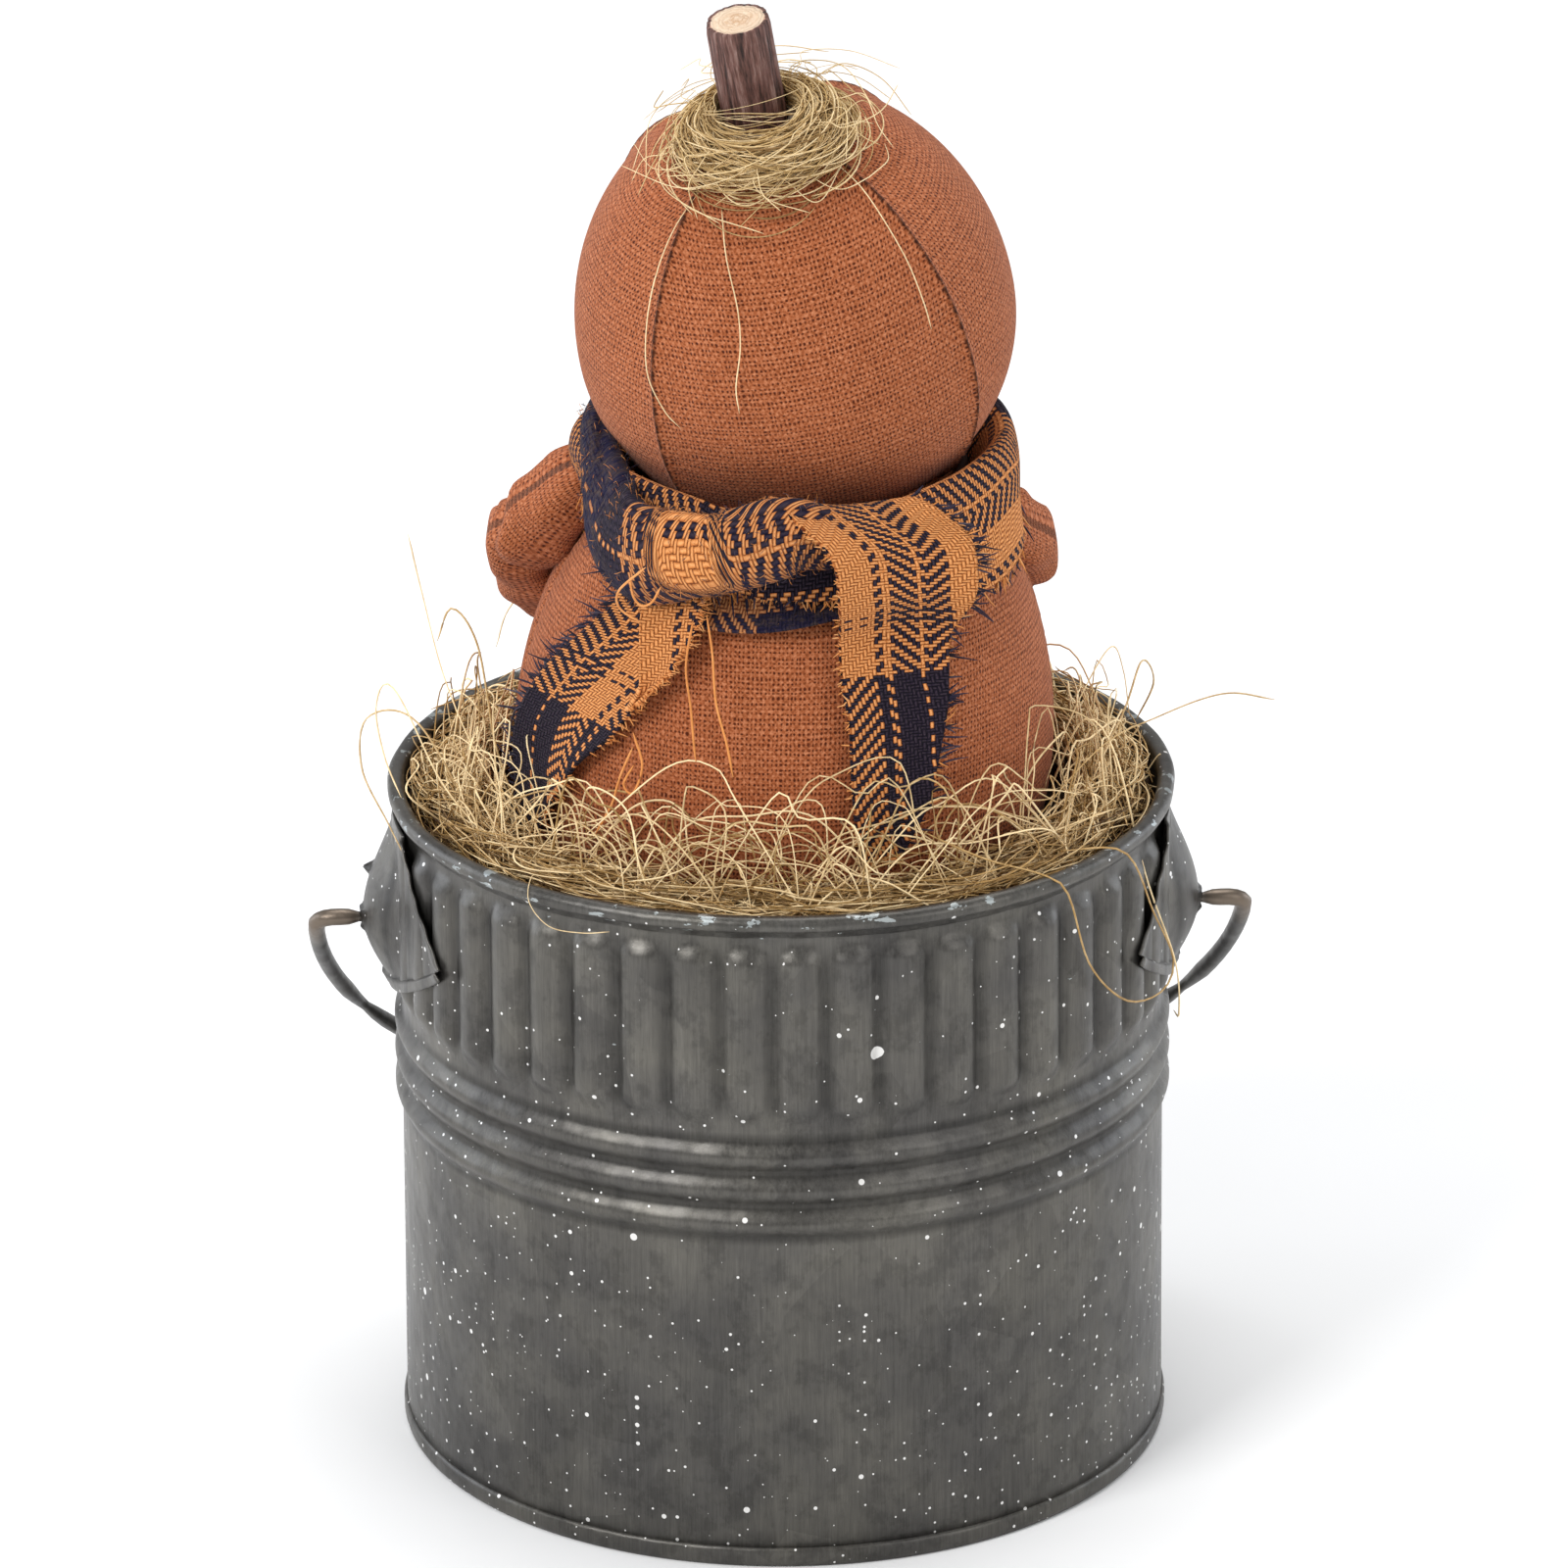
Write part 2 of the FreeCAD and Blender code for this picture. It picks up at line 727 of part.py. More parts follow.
def make_arms():
    """Two flat stuffed sleeves: out from the shoulder, folded at the elbow and round to the back."""
    tall, hand = value("arm_half_tall"), value("hand_half_tall")
    thick = value("arm_half_thick")
    stations = (
        (34.0, 2.5, 121.3, 0.7, tall - 1.7),
        (35.6, 8.8, 117.5, 0.9, tall - 0.5),
        (34.8, 15.8, 112.0, 1.0, tall),
        (29.8, 25.8, 105.0, 1.0, tall - 0.5),
        (20.0, 34.2, 99.0, 0.9, hand + 0.6),
        (5.0, 39.6, 95.0, 0.8, hand),
    )
    rings = []
    for i, (x, y, z, fullness, half_tall) in enumerate(stations):
        before = FreeCAD.Vector(*stations[max(i - 1, 0)][:3])
        after = FreeCAD.Vector(*stations[min(i + 1, len(stations) - 1)][:3])
        along = (after - before).normalize()
        outward = FreeCAD.Vector(x, y, 0).normalize()
        outward = (outward - along * outward.dot(along)).normalize()
        centre = FreeCAD.Vector(x, y, z)
        ellipse = Part.Ellipse(
            centre + along.cross(outward) * half_tall,
            centre + outward * thick * fullness,
            centre,
        )
        rings.append(Part.Wire(ellipse.toShape()))
    sleeve = Part.makeLoft(rings, True, True)
    across = FreeCAD.Vector(1, 0, 0)
    for name, shape in (
        ("arm_left", sleeve),
        ("arm_right", sleeve.mirror(FreeCAD.Vector(), across)),
    ):
        arm = doc.addObject("Part::Feature", name + "_loft")
        arm.Shape = shape
        keep(arm, name, move(x=value("figure_shift")))


def make_tail(name, stations):
    """A flat strip that follows the body's barrel.

    Each station gives height, azimuth from the front towards +X in degrees, and width.
    """
    lift, thick = value("tail_lift"), value("tail_thick")
    frames = []
    for height, azimuth, width in stations:
        radius = value(barrel(str(height))) + lift
        half_angle = math.degrees(width / 2 / radius)
        ring = []
        for turn, reach in (
            (azimuth - half_angle, radius),
            (azimuth + half_angle, radius),
            (azimuth + half_angle, radius + thick),
            (azimuth - half_angle, radius + thick),
        ):
            angle = math.radians(turn - 90)
            ring.append(FreeCAD.Vector(reach * math.cos(angle), reach * math.sin(angle), height))
        frames.append(Part.makePolygon(ring + ring[:1]))
    tail = doc.addObject("Part::Feature", name + "_loft")
    tail.Shape = Part.makeLoft(frames, True, True)
    return keep(tail, name, move(x=value("figure_shift")))


def collar_place(turn):
    """The collar's ring tips about its own middle, so that it stands higher at the nape."""
    tip = FreeCAD.Rotation(FreeCAD.Vector(1, 0, 0), value("collar_tip"))
    middle = FreeCAD.Vector(0, 0, value("(collar_foot + collar_top) / 2"))
    base = middle - tip.multVec(middle)
    return move(value("figure_shift"), base.y, base.z, tip * about_z(turn))


def make_scarf():
    half = "collar_half_thick"
    start = 270.0 - value("knot_turn") + value("collar_gap_angle") / 2
    turned_part(
        "scarf_neck_wrap",
        [
            (f"collar_foot_radius - {half}", f"collar_foot - {half} / 3"),
            (f"collar_foot_radius + {half}", f"collar_foot + {half} / 3"),
            (f"collar_top_radius + {half}", f"collar_top + {half} / 3"),
            (f"collar_top_radius - {half}", f"collar_top - {half} / 3"),
        ],
        None,
        collar_place(start),
        360.0 - value("collar_gap_angle"),
    )

    body = new_body("scarf_knot")
    block = primitive(
        body,
        "AdditiveBox",
        "knot_block",
        "0",
        {"Length": "knot_width", "Width": "knot_depth", "Height": "knot_tall"},
    )
    doc.recompute()
    soft = body.newObject("PartDesign::Fillet", "knot_soft")
    soft.Base = (block, [f"Edge{i + 1}" for i in range(len(block.Shape.Edges))])
    bind(soft, "Radius", "knot_round")
    turn = about_z(-value("knot_turn"))
    corner = turn.multVec(
        FreeCAD.Vector(
            -value("knot_width") / 2, -value("knot_circle") - value("knot_depth") / 2, 0
        )
    )
    keep(
        body,
        "scarf_knot",
        move(
            corner.x + value("figure_shift"),
            corner.y,
            value("knot_height - knot_tall / 2"),
            turn,
        ),
    )
    make_tail(
        "scarf_tail_right",
        ((119.5, -31.0, 8.0), (113.0, -38.0, 12.0), (104.0, -50.0, 12.0), (94.5, -60.0, 7.0)),
    )
    make_tail(
        "scarf_tail_left",
        ((121.0, 20.0, 16.0), (114.0, 24.0, 16.0), (104.0, 23.0, 13.5), (90.0, 23.0, 11.0)),
    )


def check_document():
    """Stop on any failed object or empty, invalid or null sub-part."""
    doc.recompute()
    failed = [o.Name for o in doc.Objects if "Invalid" in o.State or "Error" in o.State]
    if failed:
        raise RuntimeError(f"objects failed to build: {failed}")
    for part in parts:
        shape = part.Shape
        if shape.isNull() or not shape.isValid() or shape.Volume <= 0:
            raise RuntimeError(f"{part.Label} has no valid solid")


def export_parts():
    os.makedirs("parts", exist_ok=True)
    for part in parts:
        part.Shape.exportStep(f"parts/{part.Label}.step")
        box = part.Shape.BoundBox
        print(
            f"{part.Label:18s} {part.Shape.Volume:10.1f} mm3  solids {len(part.Shape.Solids)}"
            f"  x {box.XMin:7.2f} {box.XMax:7.2f}  y {box.YMin:7.2f} {box.YMax:7.2f}"
            f"  z {box.ZMin:7.2f} {box.ZMax:7.2f}"
        )


make_pail_wall()
make_pail_bottom()
make_ear("ear_left", 0.0)
make_ear("ear_right", 180.0)
make_bail()
make_filling()
make_body()
make_head()
make_stem()
make_arms()
make_scarf()
check_document()
export_parts()
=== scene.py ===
"""A stuffed scarecrow figure in a tin pail: the looks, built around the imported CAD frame.

Lengths are in millimetres until a mesh is made. The front of the object faces -Y, +Z is up,
and the figure's own left side is +X. Angles called "turn" run from the front towards +X.
"""

import math

import bpy
import numpy as np
from mathutils import Matrix, Vector


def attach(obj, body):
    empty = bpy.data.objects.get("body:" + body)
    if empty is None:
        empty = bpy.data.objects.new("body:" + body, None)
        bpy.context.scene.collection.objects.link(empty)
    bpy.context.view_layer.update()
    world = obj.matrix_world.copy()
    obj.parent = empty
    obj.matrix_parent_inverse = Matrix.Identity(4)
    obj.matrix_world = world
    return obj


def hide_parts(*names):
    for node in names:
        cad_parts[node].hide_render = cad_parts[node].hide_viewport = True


MM = 0.001
TAU = 2 * math.pi

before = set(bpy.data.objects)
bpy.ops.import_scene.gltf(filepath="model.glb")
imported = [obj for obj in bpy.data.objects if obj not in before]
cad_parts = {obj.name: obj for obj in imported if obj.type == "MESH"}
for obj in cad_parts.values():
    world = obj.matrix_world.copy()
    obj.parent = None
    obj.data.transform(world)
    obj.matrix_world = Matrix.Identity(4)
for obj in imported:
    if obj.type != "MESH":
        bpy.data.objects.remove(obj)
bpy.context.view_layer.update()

# ---------------------------------------------------------------- sizes, within 2 mm of the CAD's

RIM_HEIGHT = 89.9  # the top of the rolled hem
WALL_FOOT_RADIUS = 50.0
WALL_RIM_RADIUS = 49.4
SHEET = 0.5
EAR_SHEET = 0.35
BEAD_HEIGHTS = (47.9, 52.45, 57.0)
FLUTES = 46
PIVOT_HEIGHT = 70.6
FIGURE_X = 1.1
FIGURE_LEAN = 0.04
LEAN_HEIGHT = 112.0  # where the leaning axis is at FIGURE_X
BARREL_ARC = 55.0
BARREL_MIDDLE = 95.0
BARREL_RADIUS = 35.4
BODY_FOOT = 56.3
BODY_TOP = 132.6
HEAD_CENTRE = np.array((2.3, 0.0, 151.3))
HEAD_RADIUS = 28.5
HEAD_RISE = 31.4
HEAD_DROP = 25.0
EAR_RADIUS = 50.4
STEM_RADIUS = 3.88
STEM_LENGTH = 15.7
BED_INSIDE = 35.6
BED_OUTSIDE = 48.1


# ---------------------------------------------------------------- shape helpers


def smooth(t):
    """0 below 0, 1 above 1 and an S-curve between."""
    t = np.clip(t, 0.0, 1.0)
    return t * t * (3 - 2 * t)


def bell(t):
    """1 at 0, falling smoothly to almost 0 at 2."""
    return np.exp(-t * t)


def unit(vectors):
    return vectors / np.maximum(np.linalg.norm(vectors, axis=-1, keepdims=True), 1e-9)


def stacked(*values):
    """Points from their coordinates, each a number or an array."""
    return np.stack(np.broadcast_arrays(*values), axis=-1)


def polar(radius, angle, height):
    """Points round the Z axis; angle in radians from +X."""
    return stacked(radius * np.cos(angle), radius * np.sin(angle), height)


def ring_angles(count):
    return np.arange(count) * TAU / count


def angle_off(angle, middle):
    """The angle from middle, between -pi and pi."""
    return np.angle(np.exp(1j * (angle - middle)))


def leaning(forward, sideways):
    """The rotation about X by forward degrees, after the one about Y by sideways degrees."""
    return (np.array(Matrix.Rotation(math.radians(forward), 3, "X"))
            @ np.array(Matrix.Rotation(math.radians(sideways), 3, "Y")))


def run_of(path):
    """How far along a path each of its points is."""
    return np.concatenate(([0.0], np.cumsum(np.linalg.norm(np.diff(path, axis=0), axis=1))))


def through(stations, count):
    """A smooth run of count points through the stations, evenly spread along its length."""
    stations = np.asarray(stations, float)
    padded = np.vstack((2 * stations[0] - stations[1], stations, 2 * stations[-1] - stations[-2]))
    points = []
    for i in range(len(stations) - 1):
        a, b, c, d = padded[i : i + 4]
        t = np.linspace(0, 1, 24, endpoint=i == len(stations) - 2)[:, None]
        points.append(0.5 * (2 * b + (c - a) * t + (2 * a - 5 * b + 4 * c - d) * t**2
                             + (3 * b - a - 3 * c + d) * t**3))
    points = np.vstack(points)
    run = run_of(points[:, :3])
    wanted = np.linspace(0, run[-1], count)
    return np.column_stack([np.interp(wanted, run, points[:, k]) for k in range(points.shape[1])])


def grid_faces(rows, cols, close_rows=False, close_cols=False, start=0):
    """Quads of a grid of points that is stored row by row."""
    r = np.arange(rows if close_rows else rows - 1)[:, None]
    c = np.arange(cols if close_cols else cols - 1)[None, :]
    r2, c2 = (r + 1) % rows, (c + 1) % cols
    quads = stacked(r * cols + c, r * cols + c2, r2 * cols + c2, r2 * cols + c)
    return quads.reshape(-1, 4) + start


def fan_faces(ring, tip):
    """Triangles from a closed ring of points to one tip."""
    ring = np.asarray(ring)
    return np.column_stack((ring, np.roll(ring, -1), np.full(len(ring), tip)))


def flipped(faces):
    return [f[:, ::-1] for f in faces]


def tube_faces(rows, cols):
    """Faces of a tube of closed rings whose two tips are stored after the rings."""
    ring = np.arange(cols)
    return [grid_faces(rows, cols, close_cols=True), fan_faces(ring[::-1], rows * cols),
            fan_faces(ring + (rows - 1) * cols, rows * cols + 1)]


def sheet_faces(rows, cols):
    """Faces of a thin sheet: its top grid, the under grid stored after it, and the rim between them."""
    index = np.arange(rows * cols).reshape(rows, cols)
    border = np.concatenate((index[0], index[1:, -1], index[-1, -2::-1], index[-2:0:-1, 0]))
    after = np.roll(border, -1)
    rim = np.column_stack((border, border + rows * cols, after + rows * cols, after))
    return [grid_faces(rows, cols), grid_faces(rows, cols, start=rows * cols)[:, ::-1], rim]


def piece(name, shape, material, stands_for=(), body="root"):
    """A smooth mesh piece that rides on a CAD body.

    shape is its points, its faces as a list of index arrays, and the values at its points by name."""
    points, faces, values = shape
    points = np.asarray(points, float).reshape(-1, 3) * MM
    mesh = bpy.data.meshes.new(name)
    sizes = np.concatenate([np.full(len(f), f.shape[1]) for f in faces])
    mesh.vertices.add(len(points))
    mesh.vertices.foreach_set("co", points.ravel())
    corners = np.concatenate([f.ravel() for f in faces])
    mesh.loops.add(len(corners))
    mesh.loops.foreach_set("vertex_index", corners)
    mesh.polygons.add(len(sizes))
    mesh.polygons.foreach_set("loop_start", np.concatenate(([0], np.cumsum(sizes)[:-1])))
    for label, data in values.items():
        data = np.asarray(data, float)
        kind, field = ("FLOAT_VECTOR", "vector") if data.ndim > 1 else ("FLOAT", "value")
        mesh.attributes.new(label, kind, "POINT").data.foreach_set(field, data.ravel())
    mesh.update(calc_edges=True)
    mesh.polygons.foreach_set("use_smooth", np.ones(len(sizes), bool))
    mesh.materials.append(material)
    thing = bpy.data.objects.new(name, mesh)
    bpy.context.scene.collection.objects.link(thing)
    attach(thing, body)
    if stands_for:
        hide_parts(*stands_for)
    return thing


def side_by_side(parts):
    """Several shapes (points, faces, values) as one."""
    points, faces, values, start = [], [], {}, 0
    for some_points, some_faces, some_values in parts:
        some_points = np.asarray(some_points, float).reshape(-1, 3)
        points.append(some_points)
        faces += [f + start for f in some_faces]
        for label, data in some_values.items():
            values.setdefault(label, []).append(np.asarray(data, float))
        start += len(some_points)
    return np.vstack(points), faces, {k: np.concatenate(v) for k, v in values.items()}


def strands(paths, radius, tints, sides=3):
    """Thin fibres along paths, an array of (strand, step, xyz). radius is one number or one a strand."""
    taper = 0.35  # of the radius, at the two ends
    paths = np.asarray(paths, float)
    n, k = paths.shape[:2]
    along = unit(np.gradient(paths, axis=1))
    aside = np.broadcast_to(np.array((0.31, 0.17, 0.93)), along.shape)
    across = unit(np.cross(along, aside))
    other = np.cross(along, across)
    size = np.broadcast_to(np.asarray(radius, float).reshape(-1, 1), (n, k)).copy()
    ends = np.minimum(np.arange(k), k - 1 - np.arange(k)) / 2.0
    size = size * (taper + (1 - taper) * np.clip(ends, 0, 1))
    angle = ring_angles(sides)
    ring = (across[:, :, None] * np.cos(angle)[:, None] + other[:, :, None] * np.sin(angle)[:, None])
    points = paths[:, :, None] + ring * size[:, :, None, None]
    quads = grid_faces(k, sides, close_cols=True)
    first = (np.arange(n) * k * sides)[:, None, None]
    caps = np.stack((np.arange(sides)[::-1], (k - 1) * sides + np.arange(sides)))
    faces = [(quads + first).reshape(-1, 4), (caps + first).reshape(-1, sides)]
    tint = np.repeat(np.asarray(tints, float), k * sides)
    return points.reshape(-1, 3), faces, {"tint": tint}


def barrel_radius(z):
    z = np.clip(z, BODY_FOOT, BODY_TOP)
    return BARREL_RADIUS - BARREL_ARC + np.sqrt(BARREL_ARC**2 - (z - BARREL_MIDDLE) ** 2)


def axis_x(z):
    """The figure's axis at a height."""
    return FIGURE_X + FIGURE_LEAN * (z - LEAN_HEIGHT)


def round_figure(turn, height, radius):
    """Points around the figure's axis; turn in degrees from the front towards +X."""
    turn = np.radians(turn)
    return stacked(axis_x(height) + radius * np.sin(turn), -radius * np.cos(turn), height)


def clear_of_body(points, gap):
    """Points pushed out until they stand gap away from the stuffed body."""
    points = points.copy()
    z = points[..., 2]
    x, y = points[..., 0] - axis_x(z), points[..., 1]
    distance = np.maximum(np.hypot(x, y), 1e-6)
    push = np.where(z < BODY_TOP, np.maximum((barrel_radius(z) + gap) / distance, 1.0), 1.0)
    points[..., 0], points[..., 1] = axis_x(z) + x * push, y * push
    return points


# ---------------------------------------------------------------- material helpers


def math_node(operation, swapped=False):
    """The method that writes an operator between node outputs and numbers as a Math node."""
    return lambda self, *other: self.look.math(operation, *((*other, self) if swapped else (self, *other)))


class Output:
    """A node's output. Operators on it add Math nodes to its look."""

    def __init__(self, look, socket):
        self.look, self.socket = look, socket

    __add__, __radd__ = math_node("ADD"), math_node("ADD", swapped=True)
    __sub__, __rsub__ = math_node("SUBTRACT"), math_node("SUBTRACT", swapped=True)
    __mul__, __rmul__ = math_node("MULTIPLY"), math_node("MULTIPLY", swapped=True)
    __truediv__, __mod__, __pow__ = math_node("DIVIDE"), math_node("FLOORED_MODULO"), math_node("POWER")
    __lt__, __gt__, __abs__ = math_node("LESS_THAN"), math_node("GREATER_THAN"), math_node("ABSOLUTE")


class Look:
    """A node material, written from the shader backwards."""

    def __init__(self, name, **sockets):
        self.material = bpy.data.materials.new(name)
        self.material.use_nodes = True
        self.tree = self.material.node_tree
        self.shader = self.tree.nodes["Principled BSDF"]
        for label, value in sockets.items():
            self.shader.inputs[label.replace("_", " ")].default_value = value

    def add(self, kind, inputs, out=0, **settings):
        node = self.tree.nodes.new(kind)
        for label, value in settings.items():
            setattr(node, label, value)
        for label, value in inputs.items():
            self.feed(node.inputs[label], value)
        return Output(self, node.outputs[out])

    def feed(self, socket, value):
        if isinstance(value, Output):
            self.tree.links.new(value.socket, socket)
        else:
            socket.default_value = value

    def math(self, operation, *values):
        return self.add("ShaderNodeMath", dict(enumerate(values)), operation=operation)

    def position(self, scale=(1, 1, 1)):
        """Where a point is in the frame, in millimetres, stretched by scale."""
        place = self.add("ShaderNodeTexCoord", {}, out="Object")
        return self.add("ShaderNodeVectorMath", {0: place, 1: [s / MM for s in scale]},
                        operation="MULTIPLY")

    def value(self, label, out="Fac"):
        return self.add("ShaderNodeAttribute", {}, out=out, attribute_name=label)

    def parts(self, vector):
        node = self.tree.nodes.new("ShaderNodeSeparateXYZ")
        self.feed(node.inputs[0], vector)
        return [Output(self, socket) for socket in node.outputs]

    def joined(self, x, y, z=0.0):
        return self.add("ShaderNodeCombineXYZ", {0: x, 1: y, 2: z})

    def noise(self, where, scale, detail=2.0, roughness=0.5):
        return self.add("ShaderNodeTexNoise",
                        {"Vector": where, "Scale": scale, "Detail": detail, "Roughness": roughness})

    def cells(self, where, scale, out="Distance"):
        return self.add("ShaderNodeTexVoronoi", {"Vector": where, "Scale": scale}, out=out)

    def ramp(self, factor, *stops):
        node = self.tree.nodes.new("ShaderNodeValToRGB")
        while len(node.color_ramp.elements) < len(stops):
            node.color_ramp.elements.new(0.5)
        for element, (at, color) in zip(node.color_ramp.elements, stops):
            element.position = at
            element.color = color if len(color) == 4 else (*color, 1)
        self.feed(node.inputs[0], factor)
        return Output(self, node.outputs[0])

    def scaled(self, factor, low, high, to_low, to_high):
        return self.add("ShaderNodeMapRange", {0: factor, 1: low, 2: high, 3: to_low, 4: to_high})

    def mix(self, factor, a, b, blend="MIX"):
        colors = [c if isinstance(c, Output) else (*c, 1) for c in (a, b)]
        node = self.tree.nodes.new("ShaderNodeMix")
        node.data_type = "RGBA"
        node.blend_type = blend
        self.feed(node.inputs[0], factor)
        self.feed(node.inputs[6], colors[0])
        self.feed(node.inputs[7], colors[1])
        return Output(self, node.outputs[2])

    def bump(self, height, distance, under=None):
        inputs = {"Height": height, "Distance": distance * MM, "Strength": 1.0}
        if under is not None:
            inputs["Normal"] = under
        return self.add("ShaderNodeBump", inputs)

    def done(self, color, roughness=None, normal=None):
        self.feed(self.shader.inputs["Base Color"], color)
        if roughness is not None:
            self.feed(self.shader.inputs["Roughness"], roughness)
        if normal is not None:
            self.feed(self.shader.inputs["Normal"], normal)
        return self.material


def zinc_look(name, base, spatter_and_valley_shade=True):
    """Dark antiqued zinc sheet: upright brushing, soft spangle, white paint spatter and worn chips; painted
    shade low down and in the valleys.
    """
    look = Look(name, Metallic=0.8, Roughness=0.4)
    where = look.position()
    streaks = look.noise(look.position((1.0, 1.0, 0.035)), 2.6, 3.0, 0.6)
    fine = look.noise(look.position((1.0, 1.0, 0.05)), 9.0, 2.0, 0.6)
    spangle = look.cells(look.position((0.5, 0.5, 0.35)), 0.25, out="Color")
    cloud = look.noise(where, 0.07, 4.0, 0.6)
    shade = look.scaled(streaks, 0.3, 0.7, 0.84, 1.16) + look.scaled(fine, 0.3, 0.7, -0.1, 0.1)
    shade = shade * look.scaled(cloud, 0.35, 0.65, 0.84, 1.16)
    blots = look.noise(look.position((1.0, 1.0, 0.8)), 0.3, 5.0, 0.68)
    shade = shade * look.scaled(blots, 0.5, 0.6, 1.06, 0.84)
    shade = shade * look.scaled(look.parts(spangle)[0], 0.0, 1.0, 0.9, 1.1)
    color = look.mix(look.scaled(cloud, 0.35, 0.65, 0.0, 1.0), [c * 0.94 for c in base],
                     (base[0] * 1.06, base[1] * 1.05, base[2] * 0.98))
    # painted shade: the metal darker towards the foot and a little lighter up the wall
    shade = shade * look.scaled(look.parts(where)[2], 5.0, 55.0, 0.86, 1.06)
    color = look.mix(1.0, color, look.joined(shade, shade, shade), "MULTIPLY")
    roughness = look.scaled(streaks, 0.3, 0.7, 0.32, 0.46)
    if spatter_and_valley_shade:
        x, y, z = look.parts(where)
        # painted shade in the valleys between the flutes and beside the beads
        turn = look.math("ARCTAN2", y, x) * (FLUTES / TAU)
        phase = abs(turn % 1.0 - 0.5)
        valley_shade = (look.scaled(phase, 0.3, 0.47, 0.0, 0.42)
                  * (look.scaled(z, 61.5, 64.0, 0.0, 1.0) * look.scaled(z, 83.0, 86.0, 1.0, 0.0)))
        for height in (45.9, 50.2, 54.7, 59.3):
            beside = abs(z - height)
            valley_shade = look.math("MAXIMUM", valley_shade, look.scaled(beside, 0.2, 1.1, 0.45, 0.0))
        valley_darkening = 1.0 - valley_shade
        color = look.mix(1.0, color, look.joined(valley_darkening, valley_darkening, valley_darkening), "MULTIPLY")
        low_and_aside = look.scaled(z, 20.0, 70.0, 0.12, 0.0) + look.scaled(abs(x), 12.0, 46.0, 0.0, 0.16)
        spots = 0.0
        for scale, size, share in ((0.62, 0.2, 0.05), (0.27, 0.15, 0.06), (1.0, 0.2, 0.1)):
            seed = look.parts(look.cells(where, scale, out="Color"))
            radius = look.scaled(seed[1], 0.0, 1.0, 0.25, 1.0) * size
            chosen = seed[0] < low_and_aside + share
            inside = look.cells(where, scale) < radius
            spots = look.math("MAXIMUM", spots, chosen * inside)
        for place, size in (((9.9, -49.2, 70.8), 1.0), ((9.8, -50.2, 58.6), 0.5),
                            ((-21.0, -45.2, 44.6), 0.5)):
            far = look.add("ShaderNodeVectorMath", {0: where, 1: place}, out=1, operation="DISTANCE")
            spots = look.math("MAXIMUM", spots, far < size)
        rim = look.scaled(z, RIM_HEIGHT - 3.4, RIM_HEIGHT - 1.4, 0.0, 1.0)
        chips = look.noise(look.position((0.5, 0.5, 1.2)), 0.55, 4.0, 0.62)
        limit = look.scaled(rim, 0.0, 1.0, 0.735, 0.61)
        chips = chips > limit
        worn = chips * look.scaled(z, 62.0, 74.0, 0.0, 1.0)
        color = look.mix(worn, color, (0.36, 0.39, 0.39))
        color = look.mix(spots, color, (0.8, 0.79, 0.77))
        roughness = look.math("MAXIMUM", roughness, spots * 0.6)
    dents = look.noise(where, 0.16, 2.0, 0.5)
    normal = look.bump(dents, 0.5)
    normal = look.bump(fine, 0.02, normal)
    return look.done(color, roughness, normal)


def plain_weave_look(name, deep, base, light):
    """Linen-like cloth.

    The "cloth" value holds the place across and along the cut panel and the distance to its seam."""
    warp, weft = 0.55, 0.64  # from one yarn to the next, in mm
    look = Look(name, Roughness=0.95, Sheen_Weight=0.08, Sheen_Roughness=0.5, Specular_IOR_Level=0.12)
    a, b, edge = look.parts(look.value("cloth", "Vector"))
    spot = look.joined(a, b)
    waver = look.noise(look.joined(a * 0.9, b * 0.12), 1.0, 2.0)
    waver2 = look.noise(look.joined(a * 0.12, b * 0.9, 7.0), 1.0, 2.0)
    u = a * (math.pi / warp) + look.scaled(waver, 0.2, 0.8, -1.3, 1.3)
    v = b * (math.pi / weft) + look.scaled(waver2, 0.2, 0.8, -1.3, 1.3)
    su, sv = look.math("SINE", u), look.math("SINE", v)
    corner = look.scaled(abs(su), 0.0, 1.0, 1.0, 0.0) * look.scaled(abs(sv), 0.0, 1.0, 1.0, 0.0)
    uneven = look.scaled(look.noise(spot, 1.1, 3.0, 0.7), 0.32, 0.62, 0.15, 1.0)
    gaps = look.scaled(corner, 0.06, 0.5, 0.0, 1.0) * uneven
    checks = su * sv * 0.12
    height = checks + 0.7 - gaps * 0.85
    slub = look.noise(look.joined(a * 0.35, b * 1.9), 1.0, 3.0, 0.6)
    fuzz = look.noise(spot, 3.2, 3.0, 0.75)
    cloud = look.noise(spot, 0.09, 3.0, 0.5)
    # painted shade: the tone follows the yarn height, so the gaps between the yarns are dark and the yarns
    # lighter and darker where they cross
    tone = height * 0.95 + look.scaled(slub, 0.2, 0.8, -0.14, 0.14)
    tone = tone + look.scaled(fuzz, 0.2, 0.8, -0.42, 0.4)
    color = look.ramp(tone, (0.1, deep), (0.55, base), (0.98, light))
    color = look.mix(1.0, color, look.ramp(cloud, (0.3, (0.93, 0.92, 0.9)), (0.7, (1.0, 1.0, 1.0))),
                     "MULTIPLY")
    ragged = look.noise(look.joined(0.0, b), 1.3, 3.0, 0.7)
    dashes = look.scaled(look.math("SINE", b * (TAU / 2.5)) * 0.12 + ragged, 0.3, 0.55, 0.3, 1.0)
    width = edge - look.scaled(ragged, 0.3, 0.7, 0.0, 0.3)
    seam = look.scaled(width, 0.0, 0.25, 1.0, 0.0) * dashes
    # painted shade: a near-black jagged line along the seam groove
    color = look.mix(seam * 0.85, color, [c * 0.22 for c in deep])
    return look.done(color, normal=look.bump(height + fuzz * 0.5, 0.16))


